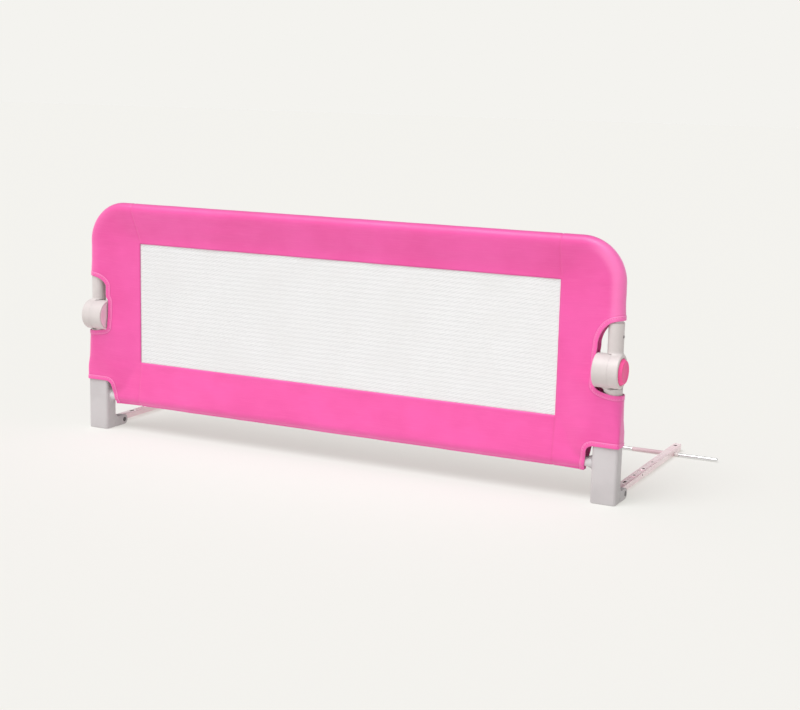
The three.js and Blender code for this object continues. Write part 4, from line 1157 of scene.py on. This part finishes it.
def make_cap():
    """Round cap on the inner face of the disc, with a shallow dish."""
    start, stop = CAP_LO[0], CAP_HI[0]
    edge, rim_wide, dish_wide, dish = 0.5, 2.6, 3.0, 0.25
    profile = [(0, stop), (CAP_R, stop)] + arc(CAP_R - edge, start + edge, edge, 0, -90, 3)
    profile += [(CAP_R - rim_wide, start), (CAP_R - dish_wide, start + dish), (0, start + dish)]
    return edge_angle(lathe("right_hinge_inner_cap", profile, "x", (FOLD_Y, FOLD_Z), 64), 40)


def paint_hollow_shade(obj, slot, test):
    """Faces whose centre in mm passes the test get the dark material as painted shade: the walls of holes and
    recesses, where shade falls.
    """
    obj.data.materials.append(MATERIALS[slot])
    obj.data.materials.append(MATERIALS["dark_plastic"])
    for face in obj.data.polygons:
        if test(face.center / MM, face.normal):
            face.material_index = 1


def round_end(half, y, bend):
    """Outline across the arm's rounded end, from the right side to the left."""
    right = arc(ARM_X + (half - bend), y - bend, bend, 0, 90, 12)
    return right + arc(ARM_X - (half - bend), y - bend, bend, 90, 180, 12)


def make_arm():
    """Flat steel channel, mouth down, with pressed recesses and holes."""
    x0, x1 = ARM_LO[0], ARM_HI[0]
    start, end, top = ARM_LO[1], ARM_HI[1], ARM_HI[2]
    wall, cap_wall, bend, foot, skirt = 1.2, 2.4, 6.3, 0.3, 3.5
    ear_r, ear_top, ear_low = 5.2, 14, 4.1
    past, under_top, over_top = 5, 8, 20
    holes = ((142, 5), (192, 5), (243, 4.2), (383, 6.4))
    slot_wide, slot_long, slot_y = 4.4, 13, 91 + TUBE_Y
    side_r, side_y, side_z = 1.5, 164 + TUBE_Y, 9.0
    plan = [(x1, start)] + round_end(ARM_HALF, end, bend) + [(x0, start)]
    body = prism("right_arm_channel", plan, "z", foot, top)
    bevelled(body, 0.9, 3, 60)
    inner = [(x1 - wall, start - 12)] + round_end(ARM_HALF - wall, end - wall, bend - wall)
    inner.append((x0 + wall, start - 12))
    hollow = prism("hollow", inner, "z", -2, top - cap_wall)
    below = [(20, -3), (20, ear_top), (PIVOT_BACK - ear_r, ear_top), (PIVOT_BACK - ear_r, PIVOT_Z)]
    below += arc(PIVOT_BACK, PIVOT_Z, ear_r, 180, 270, 8) + [(PIVOT_BACK + ear_r, ear_low), (47.9, skirt)]
    below += [(338, skirt), (345, foot), (359, foot), (366, skirt), (410, skirt), (410, -3)]
    trim = prism("trim", [(y + TUBE_Y, z) for y, z in below], "x", x0 - past, x1 + past)
    slot = rounded_outline(slot_wide, slot_long, 2.1, (ARM_X, slot_y), 5)
    tools = [hollow, trim, prism("slot", slot, "z", under_top, over_top)]
    for y, diameter in holes:
        tools.append(z_bar("hole", diameter / 2, under_top, over_top, ARM_X, y + TUBE_Y, 24))
    tools.append(x_bar("hole", BOLT_HOLE_R, x0 - past, x1 + past, *PIVOT, 20))
    tools.append(x_bar("hole", ROD_R + FIT, x0 - past, x1 + past, *ROD, 20))
    tools.append(x_bar("hole", side_r, ARM_X, x1 + past, side_y, side_z, 16))
    press_wide, press_round, press_deep = 10.4, 5.1, 1.5
    for low, high in ((100, 136), (148, 186)):
        middle = (low + high) / 2 + TUBE_Y
        outline = rounded_outline(press_wide, high - low, press_round, (ARM_X, middle), 8)
        press = prism("press", outline, "z", top - press_deep, top + press_deep)
        for vert in press.data.vertices:
            if vert.co.z < (top - 1) * MM:
                vert.co.x = (vert.co.x - ARM_X * MM) * 0.6 + ARM_X * MM
                vert.co.y = (vert.co.y - middle * MM) * 0.86 + middle * MM
        tools.append(press)
    boolean(body, "DIFFERENCE", *tools)
    edge_angle(body, 30)
    places = [(ARM_X, y + TUBE_Y, diameter / 2 + 0.1) for y, diameter in holes]

    def in_hole(centre, normal):
        level = abs(normal.z) < 0.5 and centre.z > top - 3
        near = any(math.hypot(centre.x - x, centre.y - y) < r for x, y, r in places)
        in_slot = abs(centre.x - ARM_X) < slot_wide / 2 + 0.2 and abs(centre.y - slot_y) < slot_long / 2 + 0.2
        side = abs(normal.x) < 0.5 and math.hypot(centre.y - side_y, centre.z - side_z) < side_r + 0.2
        return (level and (near or in_slot)) or side
    # Painted shade: the walls of the holes, the slot and the side hole are coloured dark.
    paint_hollow_shade(body, "painted_arm", in_hole)
    return body


def make_rod():
    end, edge = ROD_HI[0], 1.6
    profile = [(0, -end), (ROD_R - edge, -end)] + arc(ROD_R - edge, -end + edge, edge, -90, 0, 5)[1:]
    profile += [(r, -x) for r, x in reversed(profile)]
    return edge_angle(lathe("rod_bar", profile, "x", ROD, 32), 40)


def tube_piece(name, node):
    """Short round tube on the cross rod in the place of a node."""
    bore, rounding = ROD_R + 0.2, 0.6
    lo, hi = node_box(node)
    radius = (hi[2] - lo[2]) / 2
    profile = [(bore, lo[0])] + arc(radius - rounding, lo[0] + rounding, rounding, -90, 0, 4)
    profile += arc(radius - rounding, hi[0] - rounding, rounding, 0, 90, 4) + [(bore, hi[0])]
    profile.append(profile[0])
    return edge_angle(lathe(name, profile, "x", ROD, 36), 40)


def screw_head(name, radius, seat, out_x, y, z):
    """Pan-head screw along X with a cross recess."""
    height = out_x - seat
    profile = [(0, seat - 1.0), (1.4, seat - 1.0), (1.4, seat), (radius, seat)]
    for i in range(6):
        turn = math.pi / 2 * i / 5
        profile.append((radius * (0.65 + 0.35 * math.cos(turn)), seat + height * math.sin(turn)))
    profile.append((0, seat + height))
    head = lathe(name, profile, "x", (y, z), 28)
    narrow, long = 0.35, 0.9 * radius * 0.6
    for dy, dz in ((narrow, long), (long, narrow)):
        outline = [(y - dy, z - dz), (y + dy, z - dz), (y + dy, z + dz), (y - dy, z + dz)]
        boolean(head, "DIFFERENCE", prism("cross", outline, "x", seat + height - 0.5, seat + height + 2))
    return edge_angle(head, 30)


def hex_head(name, width, start, end, y, z):
    outline = arc(y, z, width / 2 / math.cos(math.pi / 6), 0, 300, 5)
    return edge_angle(bevelled(prism(name, outline, "x", start, end), 0.35, 2, 30), 30)


def make_crossbar():
    bore, radius, end = 7.25, 8.25, 481.5
    profile = [(bore, -end), (radius, -end), (radius, end), (bore, end), (bore, -end)]
    return edge_angle(lathe("crossbar_tube", profile, "x", (TUBE_Y, BAR_Z), 40), 40)


def build():
    dress_frame()
    cover = make_cover()
    net = make_net()
    for piece, slot, nodes in (
        (cover, "pink_fabric", ("cover_upper", "cover_lower")),
        (net, "white_mesh", ("mesh_upper", "mesh_lower")),
    ):
        piece.data.materials.append(MATERIALS[slot])
        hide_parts(*nodes)
        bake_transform(piece)

    leg = make_leg()
    cap = make_cap()
    button = make_button()
    arm = make_arm()
    sleeve = tube_piece("right_rod_sleeve_tube", "right_rod_sleeve")
    clip = tube_piece("right_rod_clip_ring", "right_rod_clip")
    step = 1.0
    lower = skin(
        "right_lower_hinge", lower_housing_distance,
        (DISC_IN, TUBE_Y - 36, NECK_TOP - 28), (TUBE_X + NECK_R, TUBE_Y + 22, FOLD_Z + DISC_R), step,
    )
    upper = skin(
        "right_upper_hinge", upper_housing_distance,
        (TUBE_X - SLEEVE_R, TUBE_Y - 36, FOLD_Z - DISC_R), (DISC_OUT, TUBE_Y + 22, SLEEVE_TOP), step,
    )
    for piece, plane in ((lower, PART_LOW), (upper, PART_HIGH)):
        edge_angle(crisp_parting(piece, plane), 50)
    screw_x, screw_half, screw_r = TUBE_X + SLEEVE_R, 0.6, 2.4
    screw = screw_head(
        "right_sleeve_screw_head", screw_r, screw_x - screw_half, screw_x + screw_half, TUBE_Y, SCREW_Z,
    )
    sunk, head_deep, head_r, head_edge, shank_r, nut_wide = 0.1, 2.3, 4, 0.5, 2, 6.8
    bolt = x_bar("right_arm_bolt_head", head_r, LEG_IN + sunk, LEG_IN + head_deep, *PIVOT, edge=head_edge)
    shank = x_bar("shank", shank_r, LEG_IN + 1.5, LEG_OUT - 0.3, *PIVOT, sides=20)
    boolean(bolt, "UNION", shank)
    edge_angle(bolt, 35)
    nut = hex_head("right_arm_nut_hex", nut_wide, LEG_OUT - head_deep, LEG_OUT - sunk, *PIVOT)
    pairs = (
        (leg, "leg_moulding", "grey_plastic", None, "lower_frame", "leg"),
        (cap, "hinge_inner_cap", "white_plastic", "cap_painted_light", "lower_frame", "hinge_cap"),
        (button, "push_button_cap", "pink_plastic", None, "{side}_push_button", "button"),
        (arm, "arm_channel", "painted_arm", None, "mattress_frame", "arm"),
        (sleeve, "rod_sleeve_tube", "sleeve_rubber", None, "mattress_frame", "rod_sleeve"),
        (clip, "rod_clip_ring", "white_plastic", None, "mattress_frame", "rod_clip"),
        (lower, "lower_hinge", "white_plastic", None, "lower_frame", "lower_hinge_housing"),
        (upper, "upper_hinge", "white_plastic", None, "upper_frame", "upper_hinge_housing"),
        (screw, "sleeve_screw_head", "dark_plastic", "screw_grey", "upper_frame", "sleeve_screw"),
        (bolt, "arm_bolt_head", "steel", "bolt_dark", "lower_frame", "arm_bolt"),
        (nut, "arm_nut_hex", "steel", "bolt_dark", "lower_frame", "arm_nut"),
    )
    for piece, name, slot, look, body, node in pairs:
        other = mirrored(piece, "left_" + name)
        piece.name = "right_" + name
        for obj, side in ((piece, "right"), (other, "left")):
            dress(obj, slot, body.format(side=side), f"{side}_{node}", look=look)
    dress(make_rod(), "steel", "mattress_frame", "cross_rod")
    dress(make_crossbar(), "painted_tube", "lower_frame", "bottom_crossbar")


# Floor, light and camera.

def make_stage():
    """Pale floor, a little under the feet of the rail."""
    half, drop = 30, 0.2 * MM
    corners = [(-half, -half, 0), (half, -half, 0), (half, half, 0), (-half, half, 0)]
    mesh = bpy.data.meshes.new("floor")
    mesh.from_pydata(corners, [], [(0, 1, 2, 3)])
    floor = linked("floor", mesh)
    floor.location.z = -drop
    m = Nodes(bpy.data.materials.new("floor_paint"))
    m.set(
        Base_Color=(0.38, 0.38, 0.38, 1), Roughness=1.0, Specular_IOR_Level=0.0,
        Emission_Color=(1, 0.982, 0.914, 1), Emission_Strength=0.491,
    )
    mesh.materials.append(m.owner)


def make_light():
    """Even light from low down, dimmer above but for a broad glow in front, and a wide sun."""
    world = bpy.data.worlds.new("studio")
    bpy.context.scene.world = world
    m = Nodes(world, "Background", "OutputWorld")
    way = m.node("TexCoord", out="Generated")
    glow_way = Vector((-0.3, -0.85, 0.5)).normalized()
    toward_glow = m.node("VectorMath", {0: way, 1: glow_way}, out="Value", operation="DOT_PRODUCT")
    glow = m.range(toward_glow, -0.35, 0.95, 0.06, 0.7)
    high = m.range(m.split(way)[2], 0.18, 0.38)
    strength = m.node("Mix", {0: high, 2: 1.0, 3: glow}, data_type="FLOAT")
    tint = m.mix(high, (0.905, 0.896, 0.863, 1), (1, 0.995, 0.985, 1))
    m.set(Color=tint, Strength=strength)
    sun = bpy.data.lights.new("key", "SUN")
    sun.energy = 2.2
    sun.angle = math.radians(38)
    lamp = linked("key", sun)
    lamp.rotation_mode = "QUATERNION"
    lamp.rotation_quaternion = Vector((0.15, 0.47, -1)).to_track_quat("-Z", "Y")


def make_camera():
    """The photo's view, as fitted to its edges and vanishing points."""
    azimuth, elevation, roll = (math.radians(a) for a in (26.402, 10.339, 1.386))
    level = math.cos(elevation)
    back = Vector((math.sin(azimuth) * level, -math.cos(azimuth) * level, math.sin(elevation)))
    right = Vector((math.cos(azimuth), math.sin(azimuth), 0))
    up = back.cross(right)
    c, s = math.cos(roll), math.sin(roll)
    right, up = right * c + up * s, up * c - right * s
    data = bpy.data.cameras.new("camera")
    data.lens = 65.8
    data.sensor_width = 36
    data.clip_start, data.clip_end = 0.05, 100
    camera = linked("camera", data)
    turn = Matrix((right, up, back)).transposed().to_4x4()
    turn.translation = Vector((1.187, -2.324, 0.635))
    camera.matrix_world = turn
    bpy.context.scene.camera = camera


make_camera()
build()
make_stage()
make_light()
scene = bpy.context.scene
scene.view_settings.view_transform = "Standard"
scene.view_settings.look = "None"
